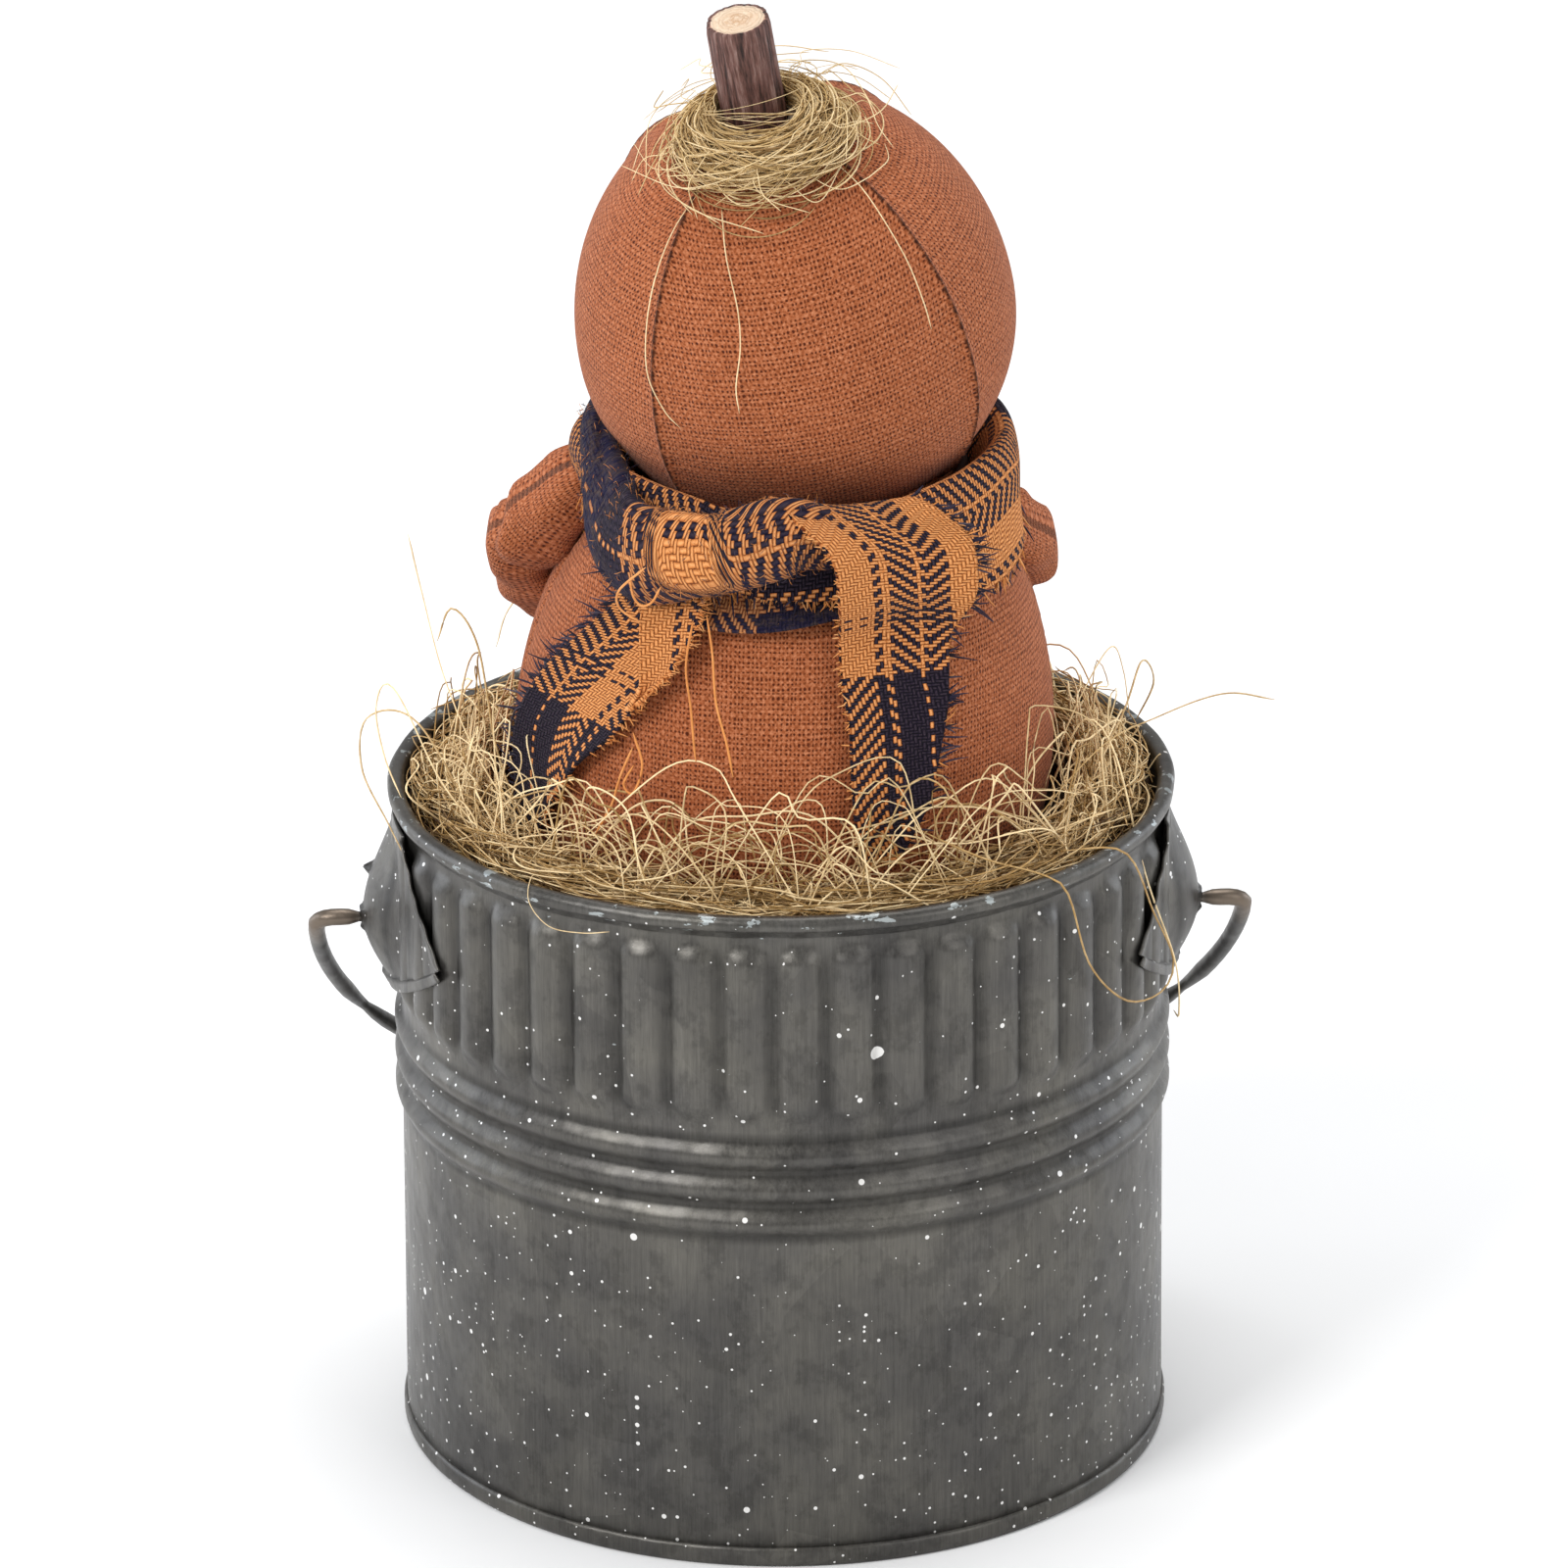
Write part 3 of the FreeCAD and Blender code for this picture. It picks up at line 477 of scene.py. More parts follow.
def twill_look(name):
    """Brushed twill plaid in orange and near-black navy.

    The "cloth" value holds the place across and along the strip and how fuzzy it is, from 0 to 1."""
    warp, weft = 0.55, 0.42  # from one yarn to the next, in mm
    look = Look(name, Roughness=0.95, Sheen_Weight=0.04, Specular_IOR_Level=0.08)
    a, b, fuzzy = look.parts(look.value("cloth", "Vector"))
    wander = look.noise(look.joined(a, b), 0.5, 2.0)
    wander = look.scaled(wander, 0.2, 0.8, -0.22, 0.22)
    u = a / warp + wander
    v = b / weft + wander
    i, j = look.math("FLOOR", u), look.math("FLOOR", v)
    zigzag = look.math("PINGPONG", i, 11.0)
    step = (j + zigzag) % 4.0
    over = step < 1.5

    def dark_stripe(n, period, start, *lines):
        place = n % period
        dark = place > start
        for line in lines:
            dark = look.math("MAXIMUM", dark, look.math("COMPARE", place, line, 0.6))
        return dark

    warp_dark = dark_stripe(i, 28.0, 12.5, 9.5)
    fleck = look.math("COMPARE", i % 28.0, 20.0, 0.6)
    warp_dark = warp_dark * (1.0 - fleck)
    weft_dark = dark_stripe(j, 143.0, 85.5, 65.0, 69.0)
    dark = look.add("ShaderNodeMix", {0: over, 2: weft_dark, 3: warp_dark})
    round_warp = abs(look.math("SINE", u * math.pi)) ** 0.6
    round_weft = abs(look.math("SINE", v * math.pi)) ** 0.6
    height = look.add("ShaderNodeMix", {0: over, 2: round_weft, 3: round_warp})
    along_yarn = look.add("ShaderNodeMix", {0: over, 2: u + j, 3: v + zigzag})
    float_end = look.math("PINGPONG", along_yarn, 1.0)
    height = height * look.scaled(float_end, 0.0, 0.35, 0.72, 1.0)
    hair = look.noise(look.joined(a, b, 3.0), 4.0, 3.0, 0.7)
    # painted shade: the tone follows the yarn height, so each yarn is darker at its sides and where its
    # float dips under
    tone = height * 0.75 + look.scaled(hair, 0.2, 0.8, -0.2, 0.2)
    orange = look.ramp(tone, (0.12, (0.16, 0.035, 0.008)), (0.55, (0.62, 0.22, 0.062)),
                       (0.92, (0.94, 0.47, 0.19)))
    navy = look.ramp(tone, (0.15, (0.004, 0.003, 0.006)), (0.6, (0.017, 0.012, 0.024)),
                     (0.98, (0.075, 0.055, 0.065)))
    color = look.mix(dark, orange, navy)
    down = look.noise(look.joined(a, b, 9.0), 1.6, 5.0, 0.75)
    felt = look.mix(look.scaled(down, 0.45, 0.8, 0.0, 1.0), (0.01, 0.01, 0.038), (0.13, 0.085, 0.05))
    cover = fuzzy * look.scaled(down, 0.25, 0.5, 0.6, 1.0)
    color = look.mix(cover * look.scaled(dark, 0.0, 1.0, 0.55, 1.0), color, felt)
    height = height + hair * 0.5
    return look.done(color, normal=look.bump(height, 0.2))


def fibre_look(name, dark, base, light, gloss=0.5, **sockets):
    """Loose fibres; "tint" from 0 to 1 picks a strand's tone."""
    look = Look(name, Roughness=gloss, Specular_IOR_Level=0.35, **sockets)
    tint = look.value("tint")
    flecks = look.noise(look.position(), 0.7, 3.0, 0.6)
    tone = tint + look.scaled(flecks, 0.3, 0.7, -0.14, 0.14)
    color = look.ramp(tone, (0.0, dark), (0.5, base), (1.0, light))
    return look.done(color, normal=look.bump(look.noise(look.position(), 6.0, 2.0), 0.02))


def lumpy_look(name, dark, light, scale, depth, **sockets):
    """Matt or waxy stuff with a mottled, uneven surface."""
    look = Look(name, **sockets)
    grain = look.noise(look.position(), scale, 4.0, 0.6)
    color = look.ramp(grain, (0.3, dark), (0.7, light))
    return look.done(color, normal=look.bump(grain, depth))


def bark_look(name):
    look = Look(name, Roughness=0.7, Specular_IOR_Level=0.4)
    around, along, ridge = look.parts(look.value("bark", "Vector"))
    grain = look.noise(look.joined(around, along * 0.1), 2.4, 4.0, 0.65)
    patch = look.noise(look.joined(around, along), 0.3, 3.0, 0.6)
    tone = look.scaled(grain, 0.3, 0.7, 0.0, 0.8) + ridge * 0.35
    color = look.ramp(tone, (0.05, (0.022, 0.01, 0.008)), (0.5, (0.15, 0.068, 0.054)),
                      (0.95, (0.36, 0.24, 0.21)))
    color = look.mix(look.scaled(patch, 0.52, 0.72, 0.0, 0.5), color, (0.13, 0.05, 0.04))
    return look.done(color, normal=look.bump(grain, 0.35))


def cut_wood_look(name):
    look = Look(name, Roughness=0.75)
    x, y, _ = look.parts(look.value("cut", "Vector"))
    radius = look.math("SQRT", x * x + y * y)
    wobble = look.noise(look.joined(x, y), 0.9, 3.0)
    rings = look.math("SINE", (radius + look.scaled(wobble, 0.2, 0.8, -0.4, 0.4)) * 11.0)
    color = look.mix(look.scaled(rings, -1.0, 1.0, 0.0, 0.5), (0.74, 0.58, 0.43), (0.6, 0.42, 0.27))
    pith = look.noise(look.joined(x, y, 4.0), 1.3, 4.0, 0.7)
    heart = look.scaled(radius, 0.8, 3.0, 1.0, 0.0) * look.scaled(pith, 0.4, 0.62, 0.0, 1.0)
    color = look.mix(heart * 0.7, color, (0.42, 0.2, 0.07))
    color = look.mix(look.scaled(radius, 3.25, 3.6, 0.0, 0.75), color, (0.45, 0.12, 0.08))
    return look.done(color, normal=look.bump(rings, 0.05))


ZINC = zinc_look("pail_zinc", (0.092, 0.088, 0.083))
WIRE = zinc_look("bail_steel", (0.085, 0.082, 0.08), spatter_and_valley_shade=False)
CLOTH = plain_weave_look("rust_cloth", (0.085, 0.016, 0.005), (0.335, 0.092, 0.031), (0.6, 0.235, 0.115))
TWILL = twill_look("plaid_flannel")
STRAW = fibre_look("straw_fibre", (0.07, 0.03, 0.008), (0.44, 0.265, 0.09), (1.0, 0.78, 0.45))
NEST = fibre_look("sisal_fibre", (0.22, 0.12, 0.035), (0.58, 0.39, 0.16), (0.92, 0.72, 0.42))
ORANGE_YARN = fibre_look("orange_yarn", (0.4, 0.13, 0.03), (0.72, 0.28, 0.075), (0.88, 0.45, 0.18),
                         gloss=0.85)
NAVY_YARN = fibre_look("navy_yarn", (0.006, 0.005, 0.012), (0.022, 0.017, 0.04), (0.09, 0.075, 0.1),
                       gloss=0.9)
SEAM_YARN = fibre_look("seam_yarn", (0.03, 0.008, 0.004), (0.06, 0.016, 0.008), (0.1, 0.03, 0.015),
                       gloss=0.8)
# painted shade: near-black brown for the deep gaps between the straw strands
STRAW_GAP_SHADE = lumpy_look("straw_gap_shade", (0.015, 0.006, 0.002), (0.08, 0.04, 0.013), 0.9, 0.8,
                         Roughness=0.95)
FOAM = lumpy_look("floral_foam", (0.5, 0.52, 0.47), (0.72, 0.73, 0.68), 1.6, 0.4, Roughness=0.95)
GLUE = lumpy_look("hot_glue", (0.3, 0.2, 0.13), (0.6, 0.5, 0.38), 0.6, 0.5, Roughness=0.18, Alpha=0.75)
STUFFING = lumpy_look("fibre_fill", (0.6, 0.59, 0.56), (0.82, 0.81, 0.79), 1.2, 0.9, Roughness=1.0)
BARK = bark_look("twig_bark")
CUT_WOOD = cut_wood_look("twig_end")


def tinted_copy(material, name, label, color):
    """A copy of a material that turns to color where the value called label is 1."""
    material = material.copy()
    material.name = name
    tree = material.node_tree
    shader = tree.nodes["Principled BSDF"]
    came = shader.inputs["Base Color"].links[0].from_socket
    share = tree.nodes.new("ShaderNodeAttribute")
    share.attribute_name = label
    mix = tree.nodes.new("ShaderNodeMix")
    mix.data_type = "RGBA"
    tree.links.new(share.outputs["Fac"], mix.inputs[0])
    tree.links.new(came, mix.inputs[6])
    mix.inputs[7].default_value = (*color, 1)
    tree.links.new(mix.outputs[2], shader.inputs["Base Color"])
    return material


PIERCED_ZINC = tinted_copy(ZINC, "ear_zinc", "burr", (0.012, 0.011, 0.01))  # nearly black round the holes
WORN_WIRE = tinted_copy(WIRE, "bail_steel_worn", "worn", (0.17, 0.135, 0.105))  # rubbed brown near the pins


# ---------------------------------------------------------------- pail


def wall_radius(z):
    return WALL_FOOT_RADIUS + (WALL_RIM_RADIUS - WALL_FOOT_RADIUS) * z / RIM_HEIGHT


def wall_relief(angle, z):
    """How far the drawn sheet stands out of the plain wall: three beads and the ring of flutes."""
    beads = sum(0.95 * np.cos(np.clip((z - h) / 2.15, -1, 1) * math.pi / 2) ** 1.6 for h in BEAD_HEIGHTS)
    phase = (angle * FLUTES / TAU) % 1.0 - 0.5
    ends = smooth((z - 60.9) / 3.2) * smooth((86.0 - z) / 2.6)
    width = 0.3 + 0.14 * ends
    pillow = np.clip(1 - np.abs(phase / width) ** 2.2, 0, 1) ** 0.85
    return beads + 1.15 * pillow * ends


def pail_wall():
    around = FLUTES * 14
    angle = ring_angles(around)[None, :]
    heights = np.concatenate((np.linspace(0.6, 44.5, 10), np.linspace(45.4, 59.6, 44),
                              np.linspace(60.4, 67, 12), np.linspace(69, 81, 5),
                              np.linspace(82, 86.6, 8)))[:, None]
    outer = wall_radius(heights) + wall_relief(angle, heights)
    rows = [(outer, np.broadcast_to(heights, outer.shape))]
    # the rolled hem: a narrow flat band, then the bead over the top and down the inside
    edge = WALL_RIM_RADIUS
    dent = 0.07 * np.sin(5 * angle + 1.0) + 0.05 * np.sin(13 * angle) + 0.035 * np.sin(29 * angle + 2.0)
    hem = [(edge + 0.12, 86.9), (edge + 0.42, 87.1), (edge + 0.5, 87.5)]
    bead_height, bead_out, bead_up = 88.75, 1.12, 1.15
    for t in np.radians(np.linspace(-42, 215, 13)):
        hem.append((edge + 0.42 + bead_out * math.cos(t), bead_height + bead_up * math.sin(t)))
    inside = [(edge - SHEET, 87.2), (edge - SHEET, 80), (edge - SHEET, 55), (WALL_FOOT_RADIUS - SHEET, 0.6)]
    for radius, z in hem:
        rows.append((radius + dent, np.full_like(angle, z) + 0.06 * np.sin(3 * angle + 0.5)))
    for radius, z in inside:
        rows.append((np.full_like(angle, radius), np.full_like(angle, z)))
    radius = np.vstack([r for r, _ in rows])
    z = np.vstack([np.broadcast_to(h, r.shape) for r, h in rows])
    points = polar(radius, angle, z)
    faces = grid_faces(len(radius), around, True, True)
    piece("pail_wall", (points, [faces], {}), ZINC, ["bucket_wall"])


def pail_foot():
    """The bottom disc with the crimped foot ring round it."""
    under, top, around = 2.3, 2.9, 320
    profile = [(48.0, under), (48.7, 2.1), (48.9, 0.5), (49.3, 0.05), (49.9, 0.0), (50.25, 0.3),
               (50.4, 0.8), (50.42, 1.9), (50.36, 2.3), (50.2, 2.55), (50.02, 2.7), (49.4, 2.75)]
    radius, height = np.array(profile).T[..., None]
    points = polar(radius, ring_angles(around), height).reshape(-1, 3)
    points = np.vstack((points, [[0, 0, under], [0, 0, top]]))
    piece("pail_foot", (points, tube_faces(len(profile), around), {}), ZINC,
          ["bucket_bottom"])


def ear(side, name, node):
    """A pressed ear: a thin plate off the flutes at its edges, with a hollow dome for the pin."""
    rows, cols = 74, 64
    t = np.linspace(-1, 1, cols)[None, :]
    h = np.linspace(0, 1, rows)[:, None]
    half = 27.4 - 13.4 * h**0.85 + 0 * t
    lip = smooth((0.085 - h) / 0.03)
    half = half - 0.9 * lip
    s = t * half
    foot = 61.6 + 10.5 * np.abs(t) ** 1.5
    top, dome_height = 86.2, 70.9
    z = foot + (top - foot) * h
    wave = 0.1 * np.sin(z * 0.9 + 1.5 * side) + 0.1 * np.sin(z * 2.3 + 2.0)
    edge = smooth((np.abs(s) - half + 3.4) / 3.4)
    dome_reach = np.sqrt((s / 10.4) ** 2 + ((z - dome_height) / np.where(z > dome_height, 13.4, 9.9)) ** 2)
    dome = 4.05 * np.cos(np.clip(dome_reach, 0, 1) * math.pi / 2) ** 1.25
    crease = 0.35 * bell(s / 0.9) * smooth((69.5 - z) / 4) * smooth(dome_reach) * (dome_reach < 1.6)
    hole = np.sqrt(s**2 + (z - PIVOT_HEIGHT) ** 2)
    burr = 0.55 * bell((hole - 1.35) / 0.4)
    torn = np.sqrt((s + 3.2 * side) ** 2 + (z - 76.2) ** 2) if side < 0 else np.full_like(s, 9.0)
    spike = 1.5 * bell(torn / 0.75)
    radius = 50.35 + 0.95 * edge + wave * edge * 0.8 + dome + crease + burr + 0.55 * lip + spike
    pit = 0.7 * bell(hole / 0.7)
    outer = radius - pit
    inner = radius - EAR_SHEET
    turn = s / EAR_RADIUS
    layers = [stacked(side * r * np.cos(turn), r * np.sin(turn), z).reshape(-1, 3) for r in (outer, inner)]
    faces = sheet_faces(rows, cols) if side > 0 else flipped(sheet_faces(rows, cols))
    dark = np.maximum(bell(hole / 1.5), bell(torn / 1.1))
    points = np.concatenate(layers)
    piece(name, (points, faces, {"burr": np.tile(dark.ravel(), 2)}), PIERCED_ZINC, [node])


def bail():
    """The wire handle at rest: it hangs behind the pail, 44 degrees under the level of its pins."""
    tilt = math.radians(44)
    half, depth, bend = 60.5, 71.4, 2.4
    run = [(x, 0.0) for x in (52.5, 53.1, 53.25, 53.6, 54.9, 55.4, 56.2, 57.2)]
    run += [(half - bend + bend * math.sin(t), bend - bend * math.cos(t))
            for t in np.radians((8, 30, 52, 74))]
    arch = [(half * math.cos(t), bend + (depth - bend) * math.sin(t))
            for t in np.linspace(0.03, math.pi / 2, 34)]
    right = np.array(run + arch)
    line = np.vstack((right, right[-2::-1] * np.array((-1, 1))))
    wire, pin = 1.1, 0.66  # radii of the wire and of the thin part in the ear's hole
    size = np.interp(np.abs(right[:, 0]), [52.5, 53.1, 53.3, 54.9, 56.4], [1.05, wire, pin, pin, wire])
    size = np.concatenate((size, size[-2::-1]))
    path = np.column_stack((line[:, 0], line[:, 1] * math.cos(tilt),
                            PIVOT_HEIGHT - line[:, 1] * math.sin(tilt)))
    along = unit(np.gradient(path, axis=0))
    flat = np.array((0.0, math.sin(tilt), math.cos(tilt)))
    aside = unit(np.cross(along, flat))
    sides = 16
    angle = ring_angles(sides)
    ring = aside[:, None] * np.cos(angle)[:, None] + flat * np.sin(angle)[:, None]
    points = (path[:, None] + ring * size[:, None, None]).reshape(-1, 3)
    count = len(path)
    cap = np.arange(sides)[None, :]
    faces = [grid_faces(count, sides, close_cols=True), cap[:, ::-1], (count - 1) * sides + cap]
    worn = smooth((np.abs(path[:, 0]) - 54) / 2) * smooth((8 - line[:, 1]) / 6)
    values = {"worn": np.repeat(worn, sides)}
    piece("bail_handle", (points, faces, values), WORN_WIRE, ["bail_wire"], body="bail")


pail_wall()
pail_foot()
ear(1, "ear_plate_left", "ear_left")
ear(-1, "ear_plate_right", "ear_right")
bail()


# ---------------------------------------------------------------- stuffed cloth


FILLING_FRAMES = 20


def stuffed(points, rows, cols, push, cap, held=()):
    """The grid of a closed round form after its cloth was filled: a short pressure simulation.

    The first and last rows close to a tip each, no point moves further than cap mm, and held are rows that
    stay where they are."""
    flat = points.reshape(-1, 3)
    tips = np.stack((points[0].mean(axis=0), points[-1].mean(axis=0)))
    mesh = bpy.data.meshes.new("filling")
    every = np.vstack((flat, tips)) * MM
    ring = np.arange(cols)
    faces = [face for some in tube_faces(rows, cols) for face in some.tolist()]
    mesh.from_pydata(every.tolist(), [], faces)
    thing = bpy.data.objects.new("filling", mesh)
    bpy.context.scene.collection.objects.link(thing)
    group = thing.vertex_groups.new(name="held")
    for row in held:
        group.add((ring + (row % rows) * cols).tolist(), 1.0, "REPLACE")
    cloth = thing.modifiers.new("cloth", "CLOTH")
    cloth.settings.quality = 5
    cloth.settings.tension_stiffness = 40
    cloth.settings.compression_stiffness = 40
    cloth.settings.use_pressure = True
    cloth.settings.uniform_pressure_force = push
    cloth.settings.effector_weights.gravity = 0
    if held:
        cloth.settings.vertex_group_mass = "held"
    scene = bpy.context.scene
    for number in range(1, FILLING_FRAMES + 1):
        scene.frame_set(number)
    shown = thing.evaluated_get(bpy.context.evaluated_depsgraph_get())
    result = np.empty(len(every) * 3)
    shown.data.vertices.foreach_get("co", result)
    scene.frame_set(1)
    bpy.data.objects.remove(thing)
    moved = result.reshape(-1, 3)[: rows * cols] / MM - flat
    length = np.linalg.norm(moved, axis=1, keepdims=True)
    moved = moved * np.minimum(1.0, cap / np.maximum(length, 1e-9))
    return (flat + moved).reshape(points.shape)


def refined(grid, times):
    """A grid of rows by closed columns, with times as many of both, smoothly between the old points."""
    rows, cols = grid.shape[:2]
    wide = np.concatenate((grid[:, -1:], grid, grid[:, :2]), axis=1)
    t = np.arange(times)[:, None] / times
    weights = (0.5
               * np.hstack((-t + 2 * t**2 - t**3, 2 - 5 * t**2 + 3 * t**3, t + 4 * t**2 - 3 * t**3,
                            -t**2 + t**3)))
    windows = np.stack([wide[:, k : k + cols] for k in range(4)], axis=2)
    grid = np.einsum("tk,rckx->rctx", weights, windows).reshape(rows, cols * times, 3)
    tall = np.concatenate((2 * grid[:1] - grid[1:2], grid, 2 * grid[-1:] - grid[-2:-1]), axis=0)
    windows = np.stack([tall[k : k + rows - 1] for k in range(4)], axis=1)
    inner = np.einsum("tk,rkcx->rtcx", weights, windows).reshape((rows - 1) * times, cols * times, 3)
    return np.concatenate((inner, grid[-1:]), axis=0)


def cloth_panel(name, grid, columns, node, seam_depth):
    """One cut panel of a stuffed form: its grid's columns from seam to seam."""
    part = grid[:, columns]
    rows, cols = part.shape[:2]
    across = np.linalg.norm(np.diff(part, axis=1), axis=2)
    across = np.concatenate((np.zeros((rows, 1)), np.cumsum(across, axis=1)), axis=1)
    from_seam = np.minimum(across, across[:, -1:] - across)
    across = across - across[:, cols // 2][:, None]
    along = run_of(part[:, cols // 2])[:, None] + 0 * across
    normal = unit(np.cross(np.gradient(part, axis=1), np.gradient(part, axis=0)))
    groove = seam_depth * (0.7 * bell(from_seam / 0.55) + 0.3 * bell(from_seam / 2.6))
    pucker = 0.06 * np.sin(along * TAU / 2.5) * bell((from_seam - 1.2) / 1.2)
    part = part - normal * (groove - pucker)[..., None]
    cloth = stacked(across, along, from_seam).reshape(-1, 3)
    return piece(name, (part, [grid_faces(rows, cols)[:, ::-1]], {"cloth": cloth}), CLOTH,
                 [node])


def filling(name, grid, node):
    """The fibre fill just under a stuffed form's cloth."""
    normal = unit(np.cross(np.gradient(grid, axis=1), np.gradient(grid, axis=0)))
    rows, cols = grid.shape[:2]
    upward = grid[-1, 0, 2] > grid[0, 0, 2]
    depth = 1.3  # under the cloth
    inner = grid - normal * (depth if upward else -depth)
    points = np.vstack((inner.reshape(-1, 3), inner[0].mean(axis=0), inner[-1].mean(axis=0)))
    faces = tube_faces(rows, cols) if upward else flipped(tube_faces(rows, cols))
    piece(name, (points, faces, {}), STUFFING, [node])


def sewn(grid, fill, panels, seam_depth):
    """A stuffed form's fill and its panels of equal width, each given as its piece and its node."""
    filling(fill[0], grid, fill[1])
    grid = refined(grid, 3)
    count = grid.shape[1]
    width = count // len(panels)
    order = np.arange(count + 1) % count
    return [cloth_panel(name, grid, order[k * width : (k + 1) * width + 1], node, seam_depth)
            for k, (name, node) in enumerate(panels)]


def body():
    rows, cols = 46, 96
    h = np.linspace(0, 1, rows)
    z = BODY_FOOT + (BODY_TOP - BODY_FOOT) * h
    angle = -math.pi / 2 + ring_angles(cols) - math.pi / 2
    radius = barrel_radius(z)[:, None] * 0.985 + 0 * angle[None, :]
    ripple = 0.35 * np.sin(9 * angle + 0.7) * smooth((z[:, None] - 117) / 12)
    radius = radius + ripple - 0.9 * bell((z[:, None] - BODY_TOP) / 1.6)
    grid = stacked(axis_x(z[:, None]) + radius * np.cos(angle), radius * np.sin(angle),
                   z[:, None] + 0 * angle)
    grid = stuffed(grid, rows, cols, push=5.0, cap=0.9, held=(0, -1))
    panels = (("body_front", "body_front_panel"), ("body_back", "body_back_panel"))
    return sewn(grid, ("body_fill", "body_stuffing"), panels, 0.7)


def head():
    rows, cols = 50, 96
    fall = np.linspace(0.035, math.pi - 0.035, rows)[:, None]  # from the top
    first_seam = math.radians(-90 - 40)
    angle = (first_seam + ring_angles(cols))[None, :]
    reach = (HEAD_RADIUS - 0.5) * np.sin(fall) ** 0.97
    level = (np.where(fall < math.pi / 2, HEAD_RISE - 0.5, HEAD_DROP) * np.cos(fall)
             - 1.8 * bell(fall / 0.16))
    local = polar(reach, angle, level)
    lean = leaning(16, -10)
    grid = local @ lean.T + HEAD_CENTRE
    grid = stuffed(grid, rows, cols, push=5.0, cap=0.8)
    panels = (("head_gore_a", "head_gore_front"), ("head_gore_b", "head_gore_left"),
              ("head_gore_c", "head_gore_back"), ("head_gore_d", "head_gore_right"))
    return sewn(grid, ("head_fill", "head_stuffing"), panels, 0.75), lean


def arm(side, name, node, stations):
    """A flat stuffed arm with a sharp elbow fold and a seam along its top edge."""
    line = through(stations, 110)
    path = line[:, :3] * np.array((side, 1, 1)) + np.array((FIGURE_X, 0, 0))
    full, tall = line[:, 3], line[:, 4]
    along = unit(np.gradient(path, axis=0))
    out = path - np.array((FIGURE_X, 0, 0))
    out[:, 2] = 0
    out = unit(out - along * (out * along).sum(axis=1, keepdims=True))
    up = np.cross(along, out) * -side
    around = 64
    angle = ring_angles(around)
    run = run_of(path)
    ends = np.sqrt(np.clip(1 - ((run / run[-1] - 0.5) * 2) ** 10, 0.02, 1))
    off_top = angle_off(angle, math.pi / 2)
    off_fold = angle_off(angle, math.radians(42))
    crease = (0.16 * bell(off_fold / 0.12) * smooth((run[:, None] - 4) / 5)
              * smooth((34 - run[:, None]) / 10))
    run = run[:, None]
    past_elbow = run - 19.5 + 3.0 * np.sin(angle)
    elbow = 0.2 * bell(past_elbow) * smooth(0.35 + np.cos(angle - 0.1))
    elbow = elbow + 0.17 * smooth(past_elbow / 0.8) * smooth((36 - run) / 10)
    wave = 0.035 * np.sin(run * 0.45 + 3 * angle) + 0.03 * np.sin(run * 0.9 - 2 * angle)
    shape = 1 + wave - 0.07 * bell(off_top / 0.13) - crease - elbow
    squareness, half_thickness = 0.62, 3.9
    a, b = (np.sign(c) * np.abs(c) ** squareness for c in (np.cos(angle), np.sin(angle)))
    points = (path[:, None]
              + out[:, None] * (a * shape * (half_thickness * full * ends)[:, None])[..., None]
              + up[:, None] * (b * shape * (tall * ends)[:, None])[..., None])
    # the third value, the distance to the top seam, places the painted seam shade along the arm's top
    cloth = stacked(angle * 5.5, run, np.abs(off_top) * 5)
    count = len(path)
    every = np.vstack((points.reshape(-1, 3), path[[0, -1]]))
    values = np.vstack((cloth.reshape(-1, 3), [[0, 0, 5], [0, run[-1, 0], 5]]))
    faces = flipped(tube_faces(count, around)) if side > 0 else tube_faces(count, around)
    return piece(name, (every, faces, {"cloth": values}), CLOTH, [node])


# along an arm, outwards from the figure's axis: x, y, z, fullness and half its height
LEFT_ARM = [(20, -1, 127, 0.6, 4.0), (25.6, 0.5, 123.8, 0.9, 4.8), (29.0, 4.5, 120.2, 1.15, 5.0),
            (30.1, 9.5, 116.4, 1.3, 5.4), (29.0, 15.5, 112.4, 1.3, 5.2), (26.4, 22.5, 107.5, 1.1, 5.2),
            (20, 32, 102, 0.85, 4.8), (6, 37.5, 98, 0.8, 4.4)]
RIGHT_ARM = [(19, -1.5, 134, 0.6, 4.0), (26.2, 0, 130.4, 1.0, 5.0), (31.2, 3.5, 124.0, 1.3, 4.9),
             (34.0, 8, 119.8, 1.42, 5.4), (32.2, 13.5, 114.8, 1.45, 5.6), (28.9, 19.5, 109.4, 1.3, 5.4),
             (23, 29.0, 103.5, 0.95, 5.0), (7, 37.0, 98, 0.8, 4.4)]
body_front, body_back = body()
gores, LEAN = head()
arms = [arm(1, "sleeve_left", "arm_left", LEFT_ARM), arm(-1, "sleeve_right", "arm_right", RIGHT_ARM)]


# ---------------------------------------------------------------- scarf


def ribbon(stations, count, across, bow, cloth_at, ripple=0.0, fuzzy=0.0):
    """A strip's points, normals and cloth values. A station is a left and a right edge point."""
    line = through(np.asarray(stations, float).reshape(len(stations), 6), count)
    left, right = line[:, None, :3], line[:, None, 3:]
    t = np.linspace(0, 1, across)[None, :, None]
    points = left + (right - left) * t
    along = np.gradient(points, axis=0)
    normal = unit(np.cross(np.gradient(points, axis=1), along))
    run = run_of(points[:, across // 2])
    swell = bow * (1 - (2 * t - 1) ** 2)
    swell = swell + ripple * np.sin(run[:, None, None] * 0.55 + 7 * t) * (0.4 + t * (1 - t) * 2)
    points = points + normal * swell
    normal = unit(np.cross(np.gradient(points, axis=1), np.gradient(points, axis=0)))
    width = np.linalg.norm(right - left, axis=2)
    return points, normal, stacked(t[..., 0] * width + cloth_at[0], run[:, None] + cloth_at[1], fuzzy)


